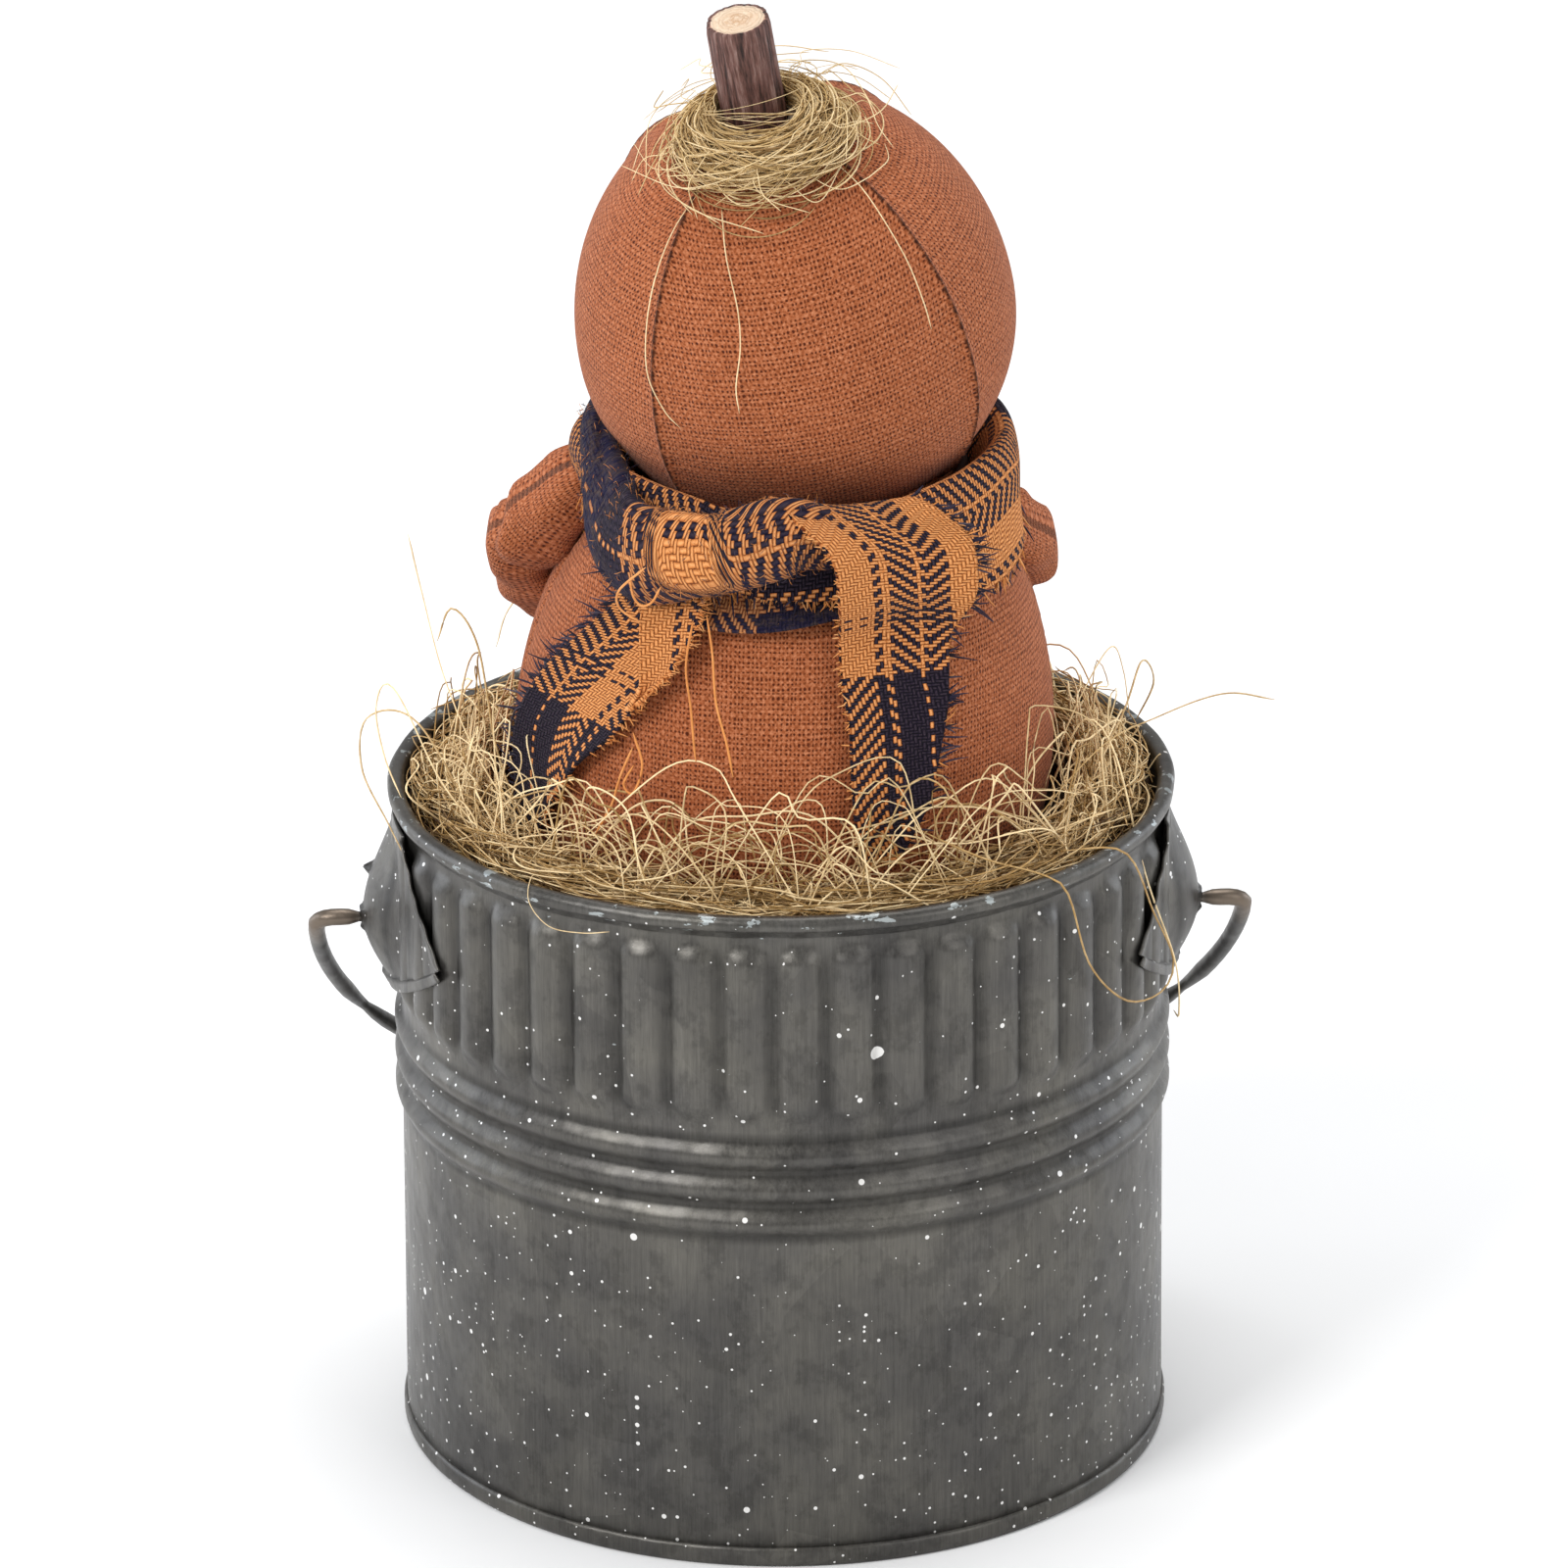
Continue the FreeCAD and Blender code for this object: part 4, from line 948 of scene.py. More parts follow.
def layered(points, normal, cloth, thick=0.55):
    """The shape of a strip that is thick mm thick."""
    rows, cols = points.shape[:2]
    top, under = points + normal * thick / 2, points - normal * thick / 2
    every = np.concatenate((top.reshape(-1, 3), under.reshape(-1, 3)))
    return every, sheet_faces(rows, cols), {"cloth": np.tile(cloth.reshape(-1, 3), (2, 1))}


def at(turn, z, lift):
    """A point of the scarf over the body, lift mm off it."""
    return tuple(round_figure(turn, z, barrel_radius(z) + lift))


def ring_at(turn, z, radius):
    """A point round the figure's axis."""
    return tuple(round_figure(turn, z, radius))


def ring_path(spots, count):
    """A smooth run of count points through spots, each a turn, a height and a radius."""
    return through([ring_at(*spot) for spot in spots], count)


def edges(place, *rows):
    """Stations for a ribbon. A row is turn, height and radius (or lift) on the left, then on the right."""
    return [(place(*row[:3]), place(*row[3:])) for row in rows]


def fray(strip, rng, edge, count, length):
    """Short threads that stick out past a strip's first (edge 0) or last (edge -1) column."""
    points, normal = strip[:2]
    rows = points.shape[0]
    line = points[:, edge]
    outward = unit(line - points[:, 3 if edge == 0 else -4])
    along = unit(np.gradient(line, axis=0))
    at_row = np.sort(rng.uniform(0, rows - 1, count)).astype(int)
    reach = rng.uniform(0.35, 1.0, count) * length
    slant = rng.normal(0, 0.35, count)
    droop = rng.normal(0.1, 0.25, count)
    step = np.linspace(0, 1, 6)[None, :, None]
    start = line[at_row] - outward[at_row] * 0.8
    way = outward[at_row] + along[at_row] * slant[:, None] + normal[at_row, edge] * droop[:, None]
    curl = rng.normal(0, 0.3, (count, 3))
    return (start[:, None] + way[:, None] * step * (reach[:, None, None] + 0.8)
            + curl[:, None] * (step * reach[:, None, None]) ** 2 * 0.5)


def hairs(points, normal, rng, count, length):
    """Fuzz that stands off a brushed cloth."""
    rows, cols = points.shape[:2]
    r, c = rng.integers(0, rows, count), rng.integers(0, cols, count)
    start, way = points[r, c], normal[r, c]
    lean = unit(rng.normal(0, 1, (count, 3)))
    step = np.linspace(0, 1, 5)[None, :, None]
    reach = (rng.uniform(0.4, 1.0, count) * length)[:, None, None]
    return (start[:, None]
            + (way[:, None] * 0.75 * (step - 0.7 * step**2) + lean[:, None] * step * 0.9) * reach)


def scarf_collar():
    """A folded strip: an inner layer along the head and an outer one that flares over the body."""
    turns = np.linspace(-14, 346, 170)
    left_side = bell((turns - 288) / 34)
    right_side = bell((turns - 48) / 20)
    front = bell(turns / 36) + bell((turns - 360) / 36)
    nape = bell((turns - 180) / 60)
    wave = 0.45 * np.sin(np.radians(turns) * 7) + 0.3 * np.sin(np.radians(turns) * 11 + 1)
    drop = 3.2 * front
    # radius and height from the hidden inner edge, over the fold, to the outer edge
    levels = [(22.6 + 0 * turns, 129.5 + 1.0 * nape - 0.6 * drop),
              (23.6 + 0 * turns, 132.5 + 1.5 * nape - 0.8 * drop),
              (25.2 + 0 * turns, 135.6 + 1.2 * nape - drop),
              (26.8 + 0.2 * wave, 137.0 + 1.0 * nape + 0.4 * wave - drop),
              (28.0 + 0.3 * wave, 135.6 + 1.0 * nape + 0.4 * wave - drop),
              (28.8 + 0.4 * wave + 0.3 * right_side - 0.8 * left_side,
               132.4 + 1.0 * nape - 0.5 * drop + 1.8 * left_side),
              (29.0 + 0.5 * wave + 1.4 * right_side - 1.4 * left_side,
               128.6 + 1.6 * nape - 0.4 * drop + 3.4 * left_side),
              (29.4 + 0.5 * wave + 3.0 * right_side - 2.0 * left_side,
               124.8 + 3.0 * nape - 2.2 * right_side - 0.2 * drop + 5.4 * left_side)]
    sections = np.stack([round_figure(turns, z, r) for r, z in levels], axis=1)
    sections = np.stack([through(section, 36) for section in sections])
    normal = -unit(np.cross(np.gradient(sections, axis=1), np.gradient(sections, axis=0)))
    steps = np.linalg.norm(np.diff(sections, axis=1), axis=2)
    steps = np.concatenate((np.zeros((len(turns), 1)), np.cumsum(steps, axis=1)), axis=1)
    neck_radius = 29.0
    run = np.radians(turns)[:, None] * neck_radius
    fuzz = (0.9 * left_side)[:, None] * smooth((steps - 9) / 3)
    mesh = layered(sections, normal, stacked(steps - 1.5, run - 12.0, fuzz), 0.6)
    collar = piece("scarf_collar", mesh, TWILL, ["scarf_neck_wrap"])
    return collar, sections, normal


def scarf_flap():
    """The tail that comes up over the knot and hangs to the straw on the figure's left."""
    flap_line = (edges(ring_at, (-10, 131.5, 27.5, 24, 130.0, 27.5), (-11, 136.0, 29.2, 22, 134.5, 29.2),
                       (-9, 138.4, 31.2, 25, 137.2, 31.6), (-3.5, 137.0, 34.6, 31, 135.2, 35.0),
                       (4.5, 132.4, 36.6, 35, 131.2, 36.9), (6.5, 126.0, 36.7, 36, 124.6, 36.9))
                 + edges(at, (8, 120.0, 3.6, 34.5, 119.2, 3.8), (8.5, 115.0, 2.4, 33, 114.2, 2.6),
                         (10, 109.0, 2.0, 31.5, 108.8, 2.0), (10.5, 102.0, 1.9, 28.5, 102.4, 1.9),
                         (11.5, 96.0, 1.8, 26, 97.0, 1.8), (14, 90.0, 1.7, 20.5, 90.5, 1.7)))
    flap = ribbon(flap_line, 130, 40, bow=0.9, cloth_at=(0.0, -1.5), ripple=0.14)
    mesh = layered(*flap)
    tail = piece("scarf_flap_left", mesh, TWILL, ["scarf_tail_left"])
    return tail, flap


def scarf_fan():
    """The shorter tail under the knot, fanning to the figure's right, with its orange edge turned over."""
    fan_line = (edges(ring_at, (-45, 126.5, 31.5, -23, 127.0, 31.5))
                + edges(at, (-46.5, 122.2, 3.4, -24, 122.6, 3.6), (-54, 117.4, 2.4, -28, 116.6, 2.8),
                        (-62, 112.2, 1.9, -34.5, 110.8, 2.2), (-69, 106.4, 1.8, -40.5, 105.6, 1.9),
                        (-71.5, 100.8, 1.8, -48.0, 101.0, 1.8), (-70, 95.0, 1.7, -55.0, 94.6, 1.7),
                        (-66, 89.5, 1.7, -60, 89.0, 1.7)))
    fan = ribbon(fan_line, 96, 36, bow=0.5, cloth_at=(7.2, 12.0), ripple=0.16)
    mesh = layered(*fan)
    tail = piece("scarf_fan_right", mesh, TWILL, ["scarf_tail_right"])
    turned_line = edges(at, (-38.5, 124.0, 4.4, -24.0, 125.0, 4.8), (-37.2, 120.4, 4.2, -23.4, 121.4, 4.6),
                        (-35.5, 116.6, 3.7, -26.5, 117.0, 4.1), (-34.5, 112.8, 3.2, -31.0, 113.2, 3.3),
                        (-36.8, 109.8, 2.8, -36.0, 109.9, 2.8))
    turned_edge = ribbon(turned_line, 40, 16, bow=0.8, cloth_at=(0.3, 4.0))
    mesh = layered(*turned_edge)
    turnover = piece("scarf_turned_edge", mesh, TWILL)
    return tail, fan, turnover, turned_edge


def scarf_knot():
    """A soft roll across the front, creased where the strip turns round itself, and the band under it."""
    roll_path = ring_path([(-100, 137.8, 25.0), (-88, 137.2, 25.3), (-77, 135.8, 25.7), (-66, 133.4, 26.6),
                           (-56, 130.9, 28.2), (-47, 129.6, 30.4), (-36, 129.8, 32.4), (-23, 131.0, 33.4),
                           (-12, 132.6, 33.4), (-2, 134.0, 32.2), (8, 132.0, 30.6)], 120)
    along = unit(np.gradient(roll_path, axis=0))
    outward = unit(roll_path - np.array((FIGURE_X, 0, 0)) - np.array((0, 0, 1.0)) * roll_path[:, 2:3])
    up = unit(np.cross(along, outward))
    up = up * np.sign(up[:, 2:3])
    count = len(roll_path)
    share = np.linspace(0, 1, count)
    tall = np.interp(share, [0, 0.12, 0.25, 0.36, 0.5, 0.65, 0.85, 1],
                     [2.6, 4.0, 4.7, 6.3, 6.9, 6.2, 5.2, 3.4])
    deep = np.interp(share, [0, 0.12, 0.25, 0.36, 0.5, 0.65, 0.85, 1],
                     [1.6, 2.2, 2.7, 3.4, 3.9, 4.0, 3.4, 2.2])
    around = 56
    angle = ring_angles(around)
    spiral = angle[None, :] + share[:, None] * 5.0
    folds = (1 + 0.08 * np.sin(2 * spiral + 0.6) - 0.09 * bell(angle_off(spiral, 2.4) / 0.26)
             - 0.07 * bell(angle_off(spiral, 0.4) / 0.24) + 0.035 * np.sin(share[:, None] * 33 + 3 * angle))
    roll = (roll_path[:, None]
            + outward[:, None] * (np.cos(angle)[None, :] * folds * deep[:, None])[..., None]
            + up[:, None] * (np.sin(angle)[None, :] * folds * tall[:, None])[..., None])
    run = run_of(roll_path)
    patch = ((smooth((run - 35) / 2.5) * smooth((46 - run) / 2.5))[:, None]
             * smooth((np.cos(angle - 0.45) - 0.1) / 0.5))
    below = smooth((-np.sin(angle) - 0.25) / 0.4)
    fuzz = np.clip(0.9 - 0.62 * smooth((run[:, None] - 20) / 5) - 0.25 * patch + 0.45 * below, 0, 0.95)
    along_weft = np.interp(run, [0, 17, 26, 70], [38.0, 49.0, 53.0, 95.0])[:, None]
    cloth = stacked(11.2 - 8.2 * patch + 3.6 * np.sin(angle),
                    along_weft + 3.0 * np.cos(angle) * smooth((run[:, None] - 22) / 8), fuzz)
    every = np.vstack((roll.reshape(-1, 3), roll_path[[0, -1]]))
    value = np.vstack((cloth.reshape(-1, 3), cloth[0, 0], cloth[-1, 0]))
    under_line = edges(at, (-42, 121.6, 1.8, -42, 127.5, 3.0), (-30, 121.0, 2.2, -30, 128.5, 3.2),
                       (-18, 120.6, 2.6, -18, 129.0, 3.4), (-6, 121.0, 2.8, -6, 129.5, 3.4),
                       (8, 122.0, 2.4, 8, 130.0, 3.0), (24, 123.0, 2.2, 24, 130.5, 2.8))
    under = ribbon(under_line, 70, 20, bow=1.2, cloth_at=(13.0, 20.0), fuzzy=0.75)
    mesh = side_by_side(((every, tube_faces(count, around), {"cloth": value}), layered(*under)))
    knot = piece("scarf_knot_roll", mesh, TWILL, ["scarf_knot"])
    return knot, (roll, unit(roll - roll_path[:, None])), under


def scarf_yarns(sections, normal, flap, fan, turned_edge, roll, under):
    """Frayed edges, loose yarns and fuzz."""
    rng = np.random.default_rng(5)
    collar_edge = (sections[:, :-7:-1], normal[:, :-7:-1])
    orange, navy = [], []
    for kind, strip, edge, count, length in (
            (orange, collar_edge, 0, 420, 2.2), (navy, collar_edge, 0, 260, 2.6),
            (orange, flap, 0, 90, 0.9), (navy, flap, -1, 130, 2.4), (orange, flap, -1, 60, 1.6),
            (navy, fan, 0, 150, 3.0), (orange, fan, -1, 90, 1.6), (orange, turned_edge, -1, 70, 1.4)):
        kind.append(fray(strip, rng, edge, count, length))
    orange, navy = np.concatenate(orange), np.concatenate(navy)
    loose = [[(-20, 124, 35.5), (-18.5, 119, 35.6), (-17, 113, 36.6), (-14, 108, 38.2), (-12.5, 104, 38.8)],
             [(-23, 123, 35.2), (-24, 117, 35.6), (-22, 112, 36.8), (-20.5, 107, 37.8),
              (-19.8, 105.5, 38.4)],
             [(-33, 108, 38.2), (-30.5, 104, 38.6), (-31.5, 100.5, 39.6), (-33.5, 101.5, 39.6),
              (-32, 104, 39.0)],
             [(-33, 106, 38.2), (-35, 102, 38.8), (-36, 98.5, 39.4), (-37.5, 96, 39.8), (-39, 94, 40.0)],
             [(-36, 128, 37.0), (-35.5, 125.5, 36.6), (-33.5, 124.4, 36.6), (-31, 125.2, 36.8),
              (-29, 127.5, 37.0)],
             [(-30, 131, 40.0), (-36, 127, 39.2), (-38, 124, 37.4), (-36, 122.5, 36.4), (-34, 122, 36.0)]]
    loose = np.stack([ring_path(spots, 24) for spots in loose])
    down = np.concatenate((hairs(*roll, rng, 1500, 1.5),
                           hairs(sections[128:157, 14:], normal[128:157, 14:], rng, 300, 1.2),
                           hairs(*under[:2], rng, 400, 1.2)))
    thin = rng.uniform(0, 1, len(down))
    orange_down, navy_down = down[thin < 0.45], down[thin >= 0.45]
    orange_mesh = side_by_side((strands(orange, 0.13, rng.uniform(0.3, 0.9, len(orange))),
                                strands(loose, 0.16, rng.uniform(0.3, 0.7, len(loose)), sides=5),
                                strands(orange_down, 0.045, rng.uniform(0.0, 0.7, len(orange_down)))))
    navy_mesh = side_by_side((strands(navy, 0.15, rng.uniform(0.1, 0.8, len(navy))),
                              strands(navy_down, 0.045, rng.uniform(0.5, 1.0, len(navy_down)))))
    return [piece("scarf_orange_yarns", orange_mesh, ORANGE_YARN),
            piece("scarf_navy_yarns", navy_mesh, NAVY_YARN)]


def scarf():
    """All of the scarf, and how each of its cloths was cut and laid."""
    collar, sections, normal = scarf_collar()
    tail_left, flap = scarf_flap()
    tail_right, fan, turnover, turned_edge = scarf_fan()
    knot, roll, under = scarf_knot()
    yarns = scarf_yarns(sections, normal, flap, fan, turned_edge, roll, under)


scarf()


# ---------------------------------------------------------------- stem, glue and nest


HEAD_CURVE = HEAD_RADIUS**2 / HEAD_RISE  # radius of curvature at the top of the head


def head_top():
    return HEAD_CENTRE + LEAN @ np.array((0, 0, HEAD_RISE))


def stem_frame():
    """The stem's foot and its three directions: two across and one along it."""
    pole = head_top() + LEAN @ np.array((0, 0, -2.4))
    return pole, leaning(13, -9)


def stem():
    foot, turn = stem_frame()
    rng = np.random.default_rng(11)
    around, rows = 120, 70
    angle = ring_angles(around)
    h = np.linspace(0, 1, rows)
    ridges = np.zeros((rows, around))
    for count in (7, 11, 17, 23, 31):
        shift, drift = rng.uniform(0, TAU), rng.normal(0, 0.8)
        ridges += np.sin(count * angle[None, :] + shift + drift * h[:, None] * 2) / count**0.35
    ridges = ridges / np.abs(ridges).max()
    knots = (0.5
             * bell(np.hypot(angle_off(angle[None, :], -1.75) * 4.1 / 0.9,
                             (h[:, None] - 0.72) * STEM_LENGTH / 1.1)))
    radius = (STEM_RADIUS + 0.16 * ridges + knots * 0.6 + 0.12 * smooth((0.22 - h[:, None]) / 0.22)
              - 0.12 * smooth((h[:, None] - 0.93) / 0.07))
    local = stacked(radius * np.cos(angle) * 1.03, radius * np.sin(angle), 0.7 + STEM_LENGTH * h[:, None])
    points = local @ turn.T + foot
    inner = local[-1] * np.array((0.87, 0.87, 1)) + np.array((0, 0, -0.04))
    inner = inner @ turn.T + foot
    every = np.vstack((points.reshape(-1, 3), inner, [foot]))
    bark_values = stacked(angle * 4.1, h[:, None] * STEM_LENGTH, ridges).reshape(-1, 3)
    bark_values = np.vstack((bark_values, bark_values[-around:], [[0, 0, 0]]))
    ring = np.arange(around)
    last = (rows - 1) * around
    lip = np.column_stack((ring + last, np.roll(ring, -1) + last, np.roll(ring, -1) + last + around,
                           ring + last + around))
    faces = [grid_faces(rows, around, close_cols=True), lip, fan_faces(ring[::-1], len(every) - 1)]
    piece("stem_bark_skin", (every, faces, {"bark": bark_values}), BARK, ["stem_bark"])
    # the saw-cut end
    rings = []
    for share in (1.0, 0.8, 0.6, 0.4, 0.2):
        level = 0.12 * np.sin(share * 9 + 3 * angle) * (1 - share) + 0.05 * (1 - share)
        disc = (local[-1] * np.array((0.885 * share, 0.885 * share, 1))
                + stacked(0 * angle, 0 * angle, level))
        rings.append(disc)
    disc = np.concatenate(rings)
    centre = np.array([[0, 0, local[-1, 0, 2] + 0.04]])
    low = rings[0] + np.array((0, 0, -1.0))
    every = np.vstack((disc, centre, low, centre - np.array((0, 0, 1.0))))
    faces = [grid_faces(5, around, close_cols=True), fan_faces(ring + 4 * around, 5 * around),
             np.column_stack((ring, ring + 5 * around + 1, np.roll(ring, -1) + 5 * around + 1,
                              np.roll(ring, -1))), fan_faces(ring[::-1] + 5 * around + 1, 6 * around + 1)]
    piece("stem_cut_end", (every @ turn.T + foot, faces, {"cut": every}), CUT_WOOD,
          ["stem_wood"])


def glue_ring():
    """The blob of hot glue round the foot of the stem."""
    foot, turn = stem_frame()
    around = 72
    angle = ring_angles(around)
    lumps = 0.5 * np.sin(3 * angle + 1) + 0.35 * np.sin(5 * angle) + 0.2 * np.sin(9 * angle + 2)
    rows = []
    for t in np.linspace(0, math.pi, 9):
        radius = 4.3 + (1.0 + 0.35 * lumps) * math.sin(t) ** 0.7
        height = 0.9 + (1.2 + 0.45 * lumps) * (1 - math.cos(t)) * 0.55
        rows.append(polar(radius, angle, height))
    points = np.stack(rows) @ turn.T + foot
    piece("stem_glue_blob", (points, [grid_faces(len(rows), around, True, True)], {}), GLUE,
          ["stem_glue"])


def on_head(turn, angle, out):
    """Points out mm over the head's cloth, at a turn from the front and an angle from the head's top."""
    turn, angle = np.radians(turn), np.radians(angle)
    reach = (HEAD_RADIUS + out) * np.sin(angle)
    level = np.where(angle < math.pi / 2, HEAD_RISE, HEAD_DROP) * np.cos(angle) + out * np.cos(angle)
    local = stacked(reach * np.sin(turn), -reach * np.cos(turn), level)
    return local @ LEAN.T + HEAD_CENTRE


def nest():
    """A loose ring of sisal round the stem, lower at the front, with stray fibres."""
    rng = np.random.default_rng(21)
    count, steps = 560, 40
    t = np.linspace(0, 1, steps)[None, :]
    start = rng.uniform(0, TAU, (count, 1))
    sweep = rng.uniform(1.5, 6.0, (count, 1)) * rng.choice((-1, 1), (count, 1))
    bend = rng.normal(7.2, 1.5, (count, 1)).clip(3.2, 10.0)
    middle = rng.normal(0, 1.7, (count, 2))
    angle = start + sweep * t
    x = middle[:, :1] + bend * np.cos(angle) + rng.normal(0, 0.5, (count, 1)) * np.sin(9 * t + start)
    y = middle[:, 1:] + bend * np.sin(angle) + rng.normal(0, 0.5, (count, 1)) * np.cos(8 * t + start)
    heap = np.clip(1.35 - np.abs(np.hypot(x, y) - 7.6) / 5.0, 0.15, 1)
    away_from_middle = np.maximum(np.hypot(x, y), 5.4) / np.hypot(x, y)
    x, y = 1.02 * x * away_from_middle + 0.8, y * away_from_middle - 3.2
    reach = np.hypot(x, y)
    least = np.maximum(reach, 4.6)
    x, y = x * least / reach, y * least / reach
    reach = np.hypot(x, y)
    layer = np.abs(rng.normal(0, 1, (count, 1))) * 1.1
    tilt = rng.normal(0, 0.1, (count, 2)) - (0, 0.11)
    height = 0.4 + heap * (0.7 + layer) + tilt[:, :1] * x + tilt[:, 1:] * y - reach**2 / (2 * HEAD_CURVE)
    height = np.maximum(height, 0.25 - reach**2 / (2 * HEAD_CURVE))
    tangle = stacked(x, y, height) @ LEAN.T + head_top()
    # fly-away fibres that leave the ring
    away = 60
    lines = []
    for _ in range(away):
        a = rng.uniform(0, TAU) + rng.normal(0, 0.7) * np.linspace(0, 1, 5) ** 2 + rng.normal(0, 0.08, 5)
        r = 6.5 + rng.uniform(4, 13) * np.linspace(0, 1, 5) ** 0.8
        z = (1.5 + rng.uniform(0.3, 3.5) * np.sin(np.linspace(0.3, 2.6, 5))
             - r**2 / (2 * HEAD_CURVE) * rng.uniform(0.3, 0.85))
        lines.append(through(stacked(r * np.cos(a) + 1.4, r * np.sin(a) - 2.2, z), steps))
    # fibres that cross in front of the stem's foot
    for _ in range(8):
        a, b = rng.uniform(150, 205), rng.uniform(-35, 25)
        turn = np.radians(np.linspace(a, 360 + b, 5))
        r = np.array((7.5, 6.2, 5.6, 6.4, 8.0)) + rng.normal(0, 0.5, 5)
        z = np.array((1.2, 2.6, 3.2, 2.6, 1.0)) * rng.uniform(0.5, 1.9)
        lines.append(through(polar(r, turn, z), steps))
    flying = np.stack(lines) @ LEAN.T + head_top()
    # long strands that hang down the front of the head: (turn on the head, polar angle)
    hanging = []
    for run in (((-38, 26), (-42, 37), (-43, 49), (-43, 61), (-41, 72), (-36, 80), (-32, 84)),
                ((-22, 30), (-17, 42), (-13, 54), (-13, 63), (-15, 72), (-15, 78.5)),
                ((47, 26), (46, 35), (44, 45), (43, 56), (41, 66), (40, 72))):
        run = np.array(run, float)
        out = 0.25 + 0.3 * np.abs(np.sin(np.arange(len(run)) * 2.1))
        hanging.append(through(on_head(run[:, 0], run[:, 1], out), steps))
    hanging = np.stack(hanging)
    every = np.concatenate((tangle, flying, hanging))
    tint = np.concatenate((np.clip(rng.normal(0.56, 0.27, count), 0, 1), rng.uniform(0.5, 1.0, len(flying)),
                           np.full(len(hanging), 0.95)))
    size = np.concatenate((rng.uniform(0.07, 0.13, count), rng.uniform(0.05, 0.09, len(flying)),
                           np.full(len(hanging), 0.1)))
    piece("stem_nest_fibres", strands(every, size, tint), NEST, ["stem_nest"])


stem()
glue_ring()
nest()


# ---------------------------------------------------------------- straw


def bed_core():
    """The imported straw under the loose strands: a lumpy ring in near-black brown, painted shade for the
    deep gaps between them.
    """
    rng = np.random.default_rng(31)
    around, across = 260, 16
    angle = ring_angles(around)
    inner = BED_INSIDE + FIGURE_X * np.cos(angle)
    share = np.linspace(0, 1, across)[:, None]
    radius = inner + (BED_OUTSIDE - inner) * share
    lumps = np.zeros((across, around))
    for _ in range(26):
        m, n = rng.integers(3, 60), rng.uniform(0, 9)
        lumps += np.sin(m * angle + n * share + rng.uniform(0, TAU)) * rng.uniform(0.05, 0.22)
    top = 84.6 + lumps * 1.2 - 1.4 * (1 - share) + 0.8 * np.abs(np.sin(angle / 2 + 0.3))
    upper = polar(radius, angle, top)
    lower = polar(radius, angle, np.full_like(top, 56.0))[::-1]
    points = np.concatenate((upper, lower))
    piece("straw_packing", (points, [grid_faces(2 * across, around, True, True)], {}), STRAW_GAP_SHADE,
          ["straw_bed"])


def bed_paths(rng, count, low, high, length, curl):
    """Springy strands that lie at any angle in the ring between the body and the wall."""
    steps, tries, inside, outside, bed_level = 22, 6000, 37.2, 48.4, 88.0
    kept = []
    while sum(len(k) for k in kept) < count:
        angle = rng.uniform(0, TAU, tries)
        radius = rng.uniform(38.5, 48.0, tries)
        spot = stacked(radius * np.cos(angle), radius * np.sin(angle))
        heading = angle + rng.choice((-1, 1), tries) * math.pi / 2 + rng.normal(0, 0.9, tries)
        step = rng.uniform(0.35, 1.0, tries) * length / steps
        bend = rng.normal(0, curl, tries)
        height = rng.uniform(low, high, tries)
        rise = rng.normal(0, 0.1, tries)
        paths = np.empty((tries, steps, 3))
        for k in range(steps):
            paths[:, k, :2], paths[:, k, 2] = spot, height
            heading = heading + bend * step
            bend = bend * 0.97 + rng.normal(0, curl * 0.25, tries)
            spot = spot + stacked(np.cos(heading), np.sin(heading)) * step[:, None]
            rise = rise + rng.normal(0, 0.035, tries)
            height = height + rise * step
        wide = np.hypot(paths[..., 0], paths[..., 1])
        narrow = np.hypot(paths[..., 0] - axis_x(bed_level), paths[..., 1])
        fits = ((wide.max(axis=1) < outside) & (narrow.min(axis=1) > inside)
                & (paths[..., 2].max(axis=1) < high + 1.2) & (paths[..., 2].min(axis=1) > low - 2.5))
        kept.append(paths[fits])
    return np.concatenate(kept)[:count]


def arch(rng, a, b, rise, lean):
    """A springy strand from a to b that rises rise mm and leans outwards by lean mm."""
    wobble = 1.2
    a, b = np.asarray(a, float), np.asarray(b, float)
    away = unit((a + b) / 2 - np.array((FIGURE_X, 0, 90.0)))
    away[2] = 0
    first = (a + (b - a) * rng.uniform(0.15, 0.35) + np.array((0, 0, rise * rng.uniform(0.8, 1.3)))
             + away * lean)
    second = (a + (b - a) * rng.uniform(0.6, 0.85) + np.array((0, 0, rise * rng.uniform(0.7, 1.25)))
              + away * lean)
    knots = [a, first + rng.normal(0, wobble, 3),
             (first + second) / 2 + rng.normal(0, wobble, 3) + np.array((0, 0, rise * 0.12)),
             second + rng.normal(0, wobble, 3), b]
    return through(knots, 30)


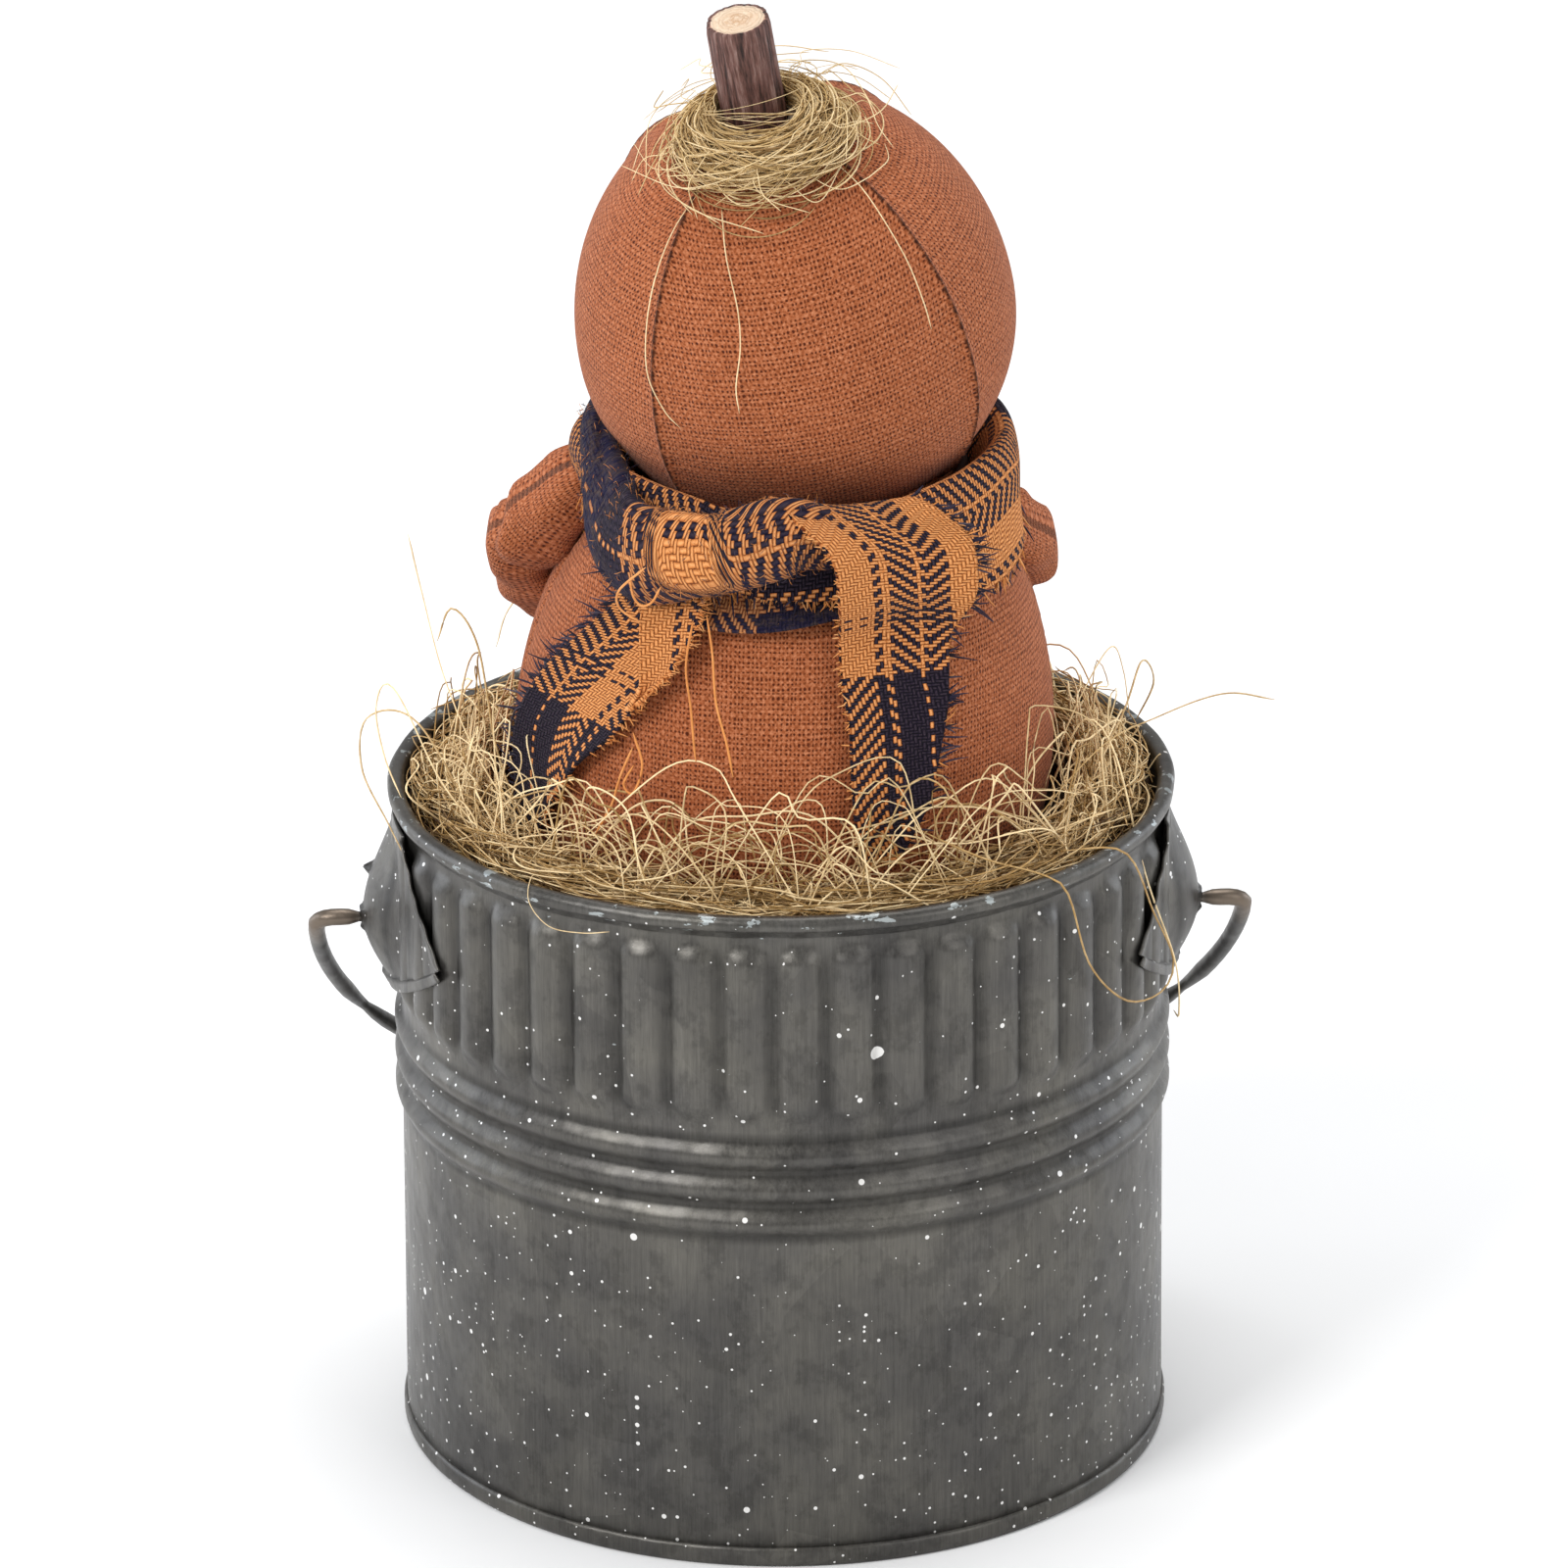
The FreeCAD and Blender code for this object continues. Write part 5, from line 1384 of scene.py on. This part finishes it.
def straw():
    rng = np.random.default_rng(41)
    thick = bed_paths(rng, 1500, 83.4, 88.0, 44.0, 0.028)
    body_side = bed_paths(rng, 1500, 86.2, 89.6, 38.0, 0.04)
    # a fine tangle that stands above the rim at the sides and the back
    tall = bed_paths(rng, 900, 88.4, 92.0, 30.0, 0.06)
    keep = np.sin(np.arctan2(tall[:, 8, 1], tall[:, 8, 0])) > rng.uniform(-1.3, 0.1, len(tall))
    tall = tall[keep]
    loose = []
    for _ in range(250):
        turn = rng.uniform(-100, 100)
        spread = rng.uniform(8, 50) * rng.choice((-1, 1))
        a = ring_at(turn, 86.5, rng.uniform(39, 46))
        b = ring_at(turn + spread, 86.5 + 9 * rng.uniform(0, 1) ** 3, rng.uniform(38.5, 46))
        rise = min(abs(rng.normal(0, 6.0)) * rng.choice((1.0, 1.0, 1.0, 1.6)) + 1.0, 12.0)
        loose.append(arch(rng, a, b, rise, rng.uniform(-2, 1)))
    for _ in range(120):
        turn = rng.uniform(70, 290)
        a = ring_at(turn, 87.0, rng.uniform(40, 45))
        b = ring_at(turn + rng.uniform(-40, 40), 87.5, rng.uniform(40, 46))
        loose.append(arch(rng, a, b, abs(rng.normal(0, 5)) + 1.0, rng.uniform(-2, 3)))
    loose = clear_of_body(np.stack(loose), 0.4)

    def tints(paths):
        return np.clip(rng.normal(0.5, 0.3, len(paths)), 0, 1)

    # painted shade and highlight: the lowest strands get darker tints, the tall and loose ones lighter
    # tints
    for name, paths, size, painted_light_shift in (("straw_low", thick, 0.135, -0.16),
                                     ("straw_mid", body_side, 0.12, 0.02)):
        tone = np.clip(tints(paths) + painted_light_shift, 0, 1)
        radius = rng.uniform(0.7, 1.25, len(paths)) * size
        piece(name, strands(clear_of_body(paths, 0.35), radius, tone), STRAW)
    high = side_by_side((strands(clear_of_body(tall, 0.35), rng.uniform(0.09, 0.15, len(tall)),
                                 tints(tall) * 0.8 + 0.2),
                         strands(loose, rng.uniform(0.09, 0.16, len(loose)),
                                 np.clip(tints(loose) + 0.4, 0, 1))))
    piece("straw_high", high, STRAW)
    # single strands that stand out of the pail
    strays = [[(-31, -22, 88), (-38, -18, 97), (-43, -10, 107), (-46, -4, 117), (-47.5, -2, 124)],
              [(-33, -16, 88), (-37, -14, 100), (-39, -10, 112), (-42, -8, 116), (-44, -9, 112)],
              [(-36, -20, 87), (-44, -16, 96), (-50, -10, 106), (-52, -8, 103), (-51, -9, 97),
               (-49, -12, 92)],
              [(-40, -10, 88), (-47, -6, 100), (-53, -2, 99), (-54, -2, 92), (-51, -6, 86), (-49, -12, 84)],
              [(30, -24, 90), (40, -18, 99), (48, -10, 100), (57, -4, 100.5), (64, 0, 98)],
              [(34, -10, 90), (38, -14, 101), (42, -16, 97), (46, -20, 82), (49.6, -19, 70),
               (50.6, -14, 60), (50.5, -8, 58)],
              [(33, -14, 92), (38, -12, 104), (42, -8, 109), (44, -4, 104), (45, -2, 97)],
              [(38, -8, 89), (44, -2, 97), (47, 4, 102), (49, 8, 98), (47, 10, 92)],
              [(15, -36, 96), (24, -39.5, 93.5), (31, -38.6, 91), (34.5, -39.2, 88.4), (37.2, -37.4, 77),
               (42, -32.5, 69.5), (47, -26.8, 68.2), (49, -23.8, 71.5), (46.5, -27, 80),
               (42.5, -30.5, 90.3), (34, -32, 91)],
              [(16, 40, 88), (22, 46, 96), (30, 50, 98), (36, 52, 92), (38, 50, 86)],
              [(-16, 40, 88), (-20, 44, 98), (-28, 48, 101), (-34, 48, 95), (-36, 46, 90)]]
    faint = [[(-31, -34, 88.5), (-32.8, -36.5, 90.8), (-33.4, -39.6, 88.6), (-31, -41.6, 86),
              (-27, -44.3, 86.1), (-23.5, -46.3, 87)]]
    fixed = clear_of_body(np.stack([through(line, 48) for line in strays + faint]), 0.5)
    fixed[:-1] += np.sin(np.linspace(0, 9, 48))[None, :, None] * rng.normal(0, 0.3, (len(strays), 1, 3))
    fixed_size = rng.uniform(0.1, 0.14, len(fixed))
    fixed_size[-1] = 0.06
    shape = strands(fixed, fixed_size, rng.uniform(0.5, 0.95, len(fixed)), sides=4)
    piece("straw_strays", shape, STRAW)


bed_core()
straw()


# ---------------------------------------------------------------- CAD pieces that stay

for node, look in {"foam_block": FOAM, "base_glue_dabs": GLUE, "body_base_disc": STUFFING,
                   "neck_thread": SEAM_YARN}.items():
    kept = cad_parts[node]
    for place in kept.material_slots:
        place.material = look
    if not kept.material_slots:
        kept.data.materials.append(look)


# ---------------------------------------------------------------- studio


def studio():
    scene = bpy.context.scene
    scene.view_settings.view_transform = "Standard"
    world = bpy.data.worlds.new("studio")
    world.use_nodes = True
    world.node_tree.nodes["Background"].inputs[0].default_value = (1.0, 1.0, 1.0, 1)
    world.node_tree.nodes["Background"].inputs[1].default_value = 0.45
    scene.world = world
    floor_mesh = bpy.data.meshes.new("floor")
    floor_mesh.from_pydata([(-6, -6, 0), (6, -6, 0), (6, 6, 0), (-6, 6, 0)], [], [(0, 1, 2, 3)])
    floor = bpy.data.objects.new("floor", floor_mesh)
    scene.collection.objects.link(floor)
    look = Look("floor_paper", Roughness=0.9)
    mottle = look.noise(look.position((0.01, 0.01, 0.01)), 1.0, 2.0)
    floor_mesh.materials.append(look.done(look.ramp(mottle, (0.3, (0.9, 0.9, 0.9)),
                                                    (0.7, (0.93, 0.93, 0.93)))))
    target = Vector((0, 0, 0.09))
    white, cool = (1.0, 1.0, 1.0), (0.84, 0.9, 1.0)
    for name, place, size, power, tone in (
            ("key", (-0.95, -0.9, 1.05), 0.6, 15.0, white), ("fill", (0.95, -1.0, 0.65), 0.8, 5.0, white),
            ("top", (0.1, 0.35, 1.5), 1.0, 12.0, white), ("edge_left", (-1.3, 0.5, 0.35), 0.9, 8.0, cool),
            ("edge_right", (1.3, 0.5, 0.3), 0.8, 6.0, cool)):
        lamp = bpy.data.lights.new(name, "AREA")
        lamp.size = size
        lamp.energy = power
        lamp.color = tone
        thing = bpy.data.objects.new(name, lamp)
        thing.location = place
        thing.rotation_euler = (target - Vector(place)).to_track_quat("-Z", "Y").to_euler()
        scene.collection.objects.link(thing)
    camera = bpy.data.cameras.new("camera")
    camera.lens = 212.6
    camera.sensor_width = 36.0
    camera.shift_x = 0.0021
    camera.shift_y = 0.0
    camera.clip_end = 50.0
    pitch, swing, distance = math.radians(21.8), math.radians(2.5), 1.198
    aim = Vector((0, 0, 0.0878))
    viewer = bpy.data.objects.new("camera", camera)
    viewer.location = (aim
                       + distance
                       * Vector((-math.sin(swing) * math.cos(pitch), -math.cos(swing) * math.cos(pitch),
                                 math.sin(pitch))))
    level = (aim - viewer.location).to_track_quat("-Z", "Y").to_matrix()
    viewer.rotation_euler = (level @ Matrix.Rotation(math.radians(-0.35), 3, "Z")).to_euler()
    scene.collection.objects.link(viewer)
    scene.camera = viewer


studio()
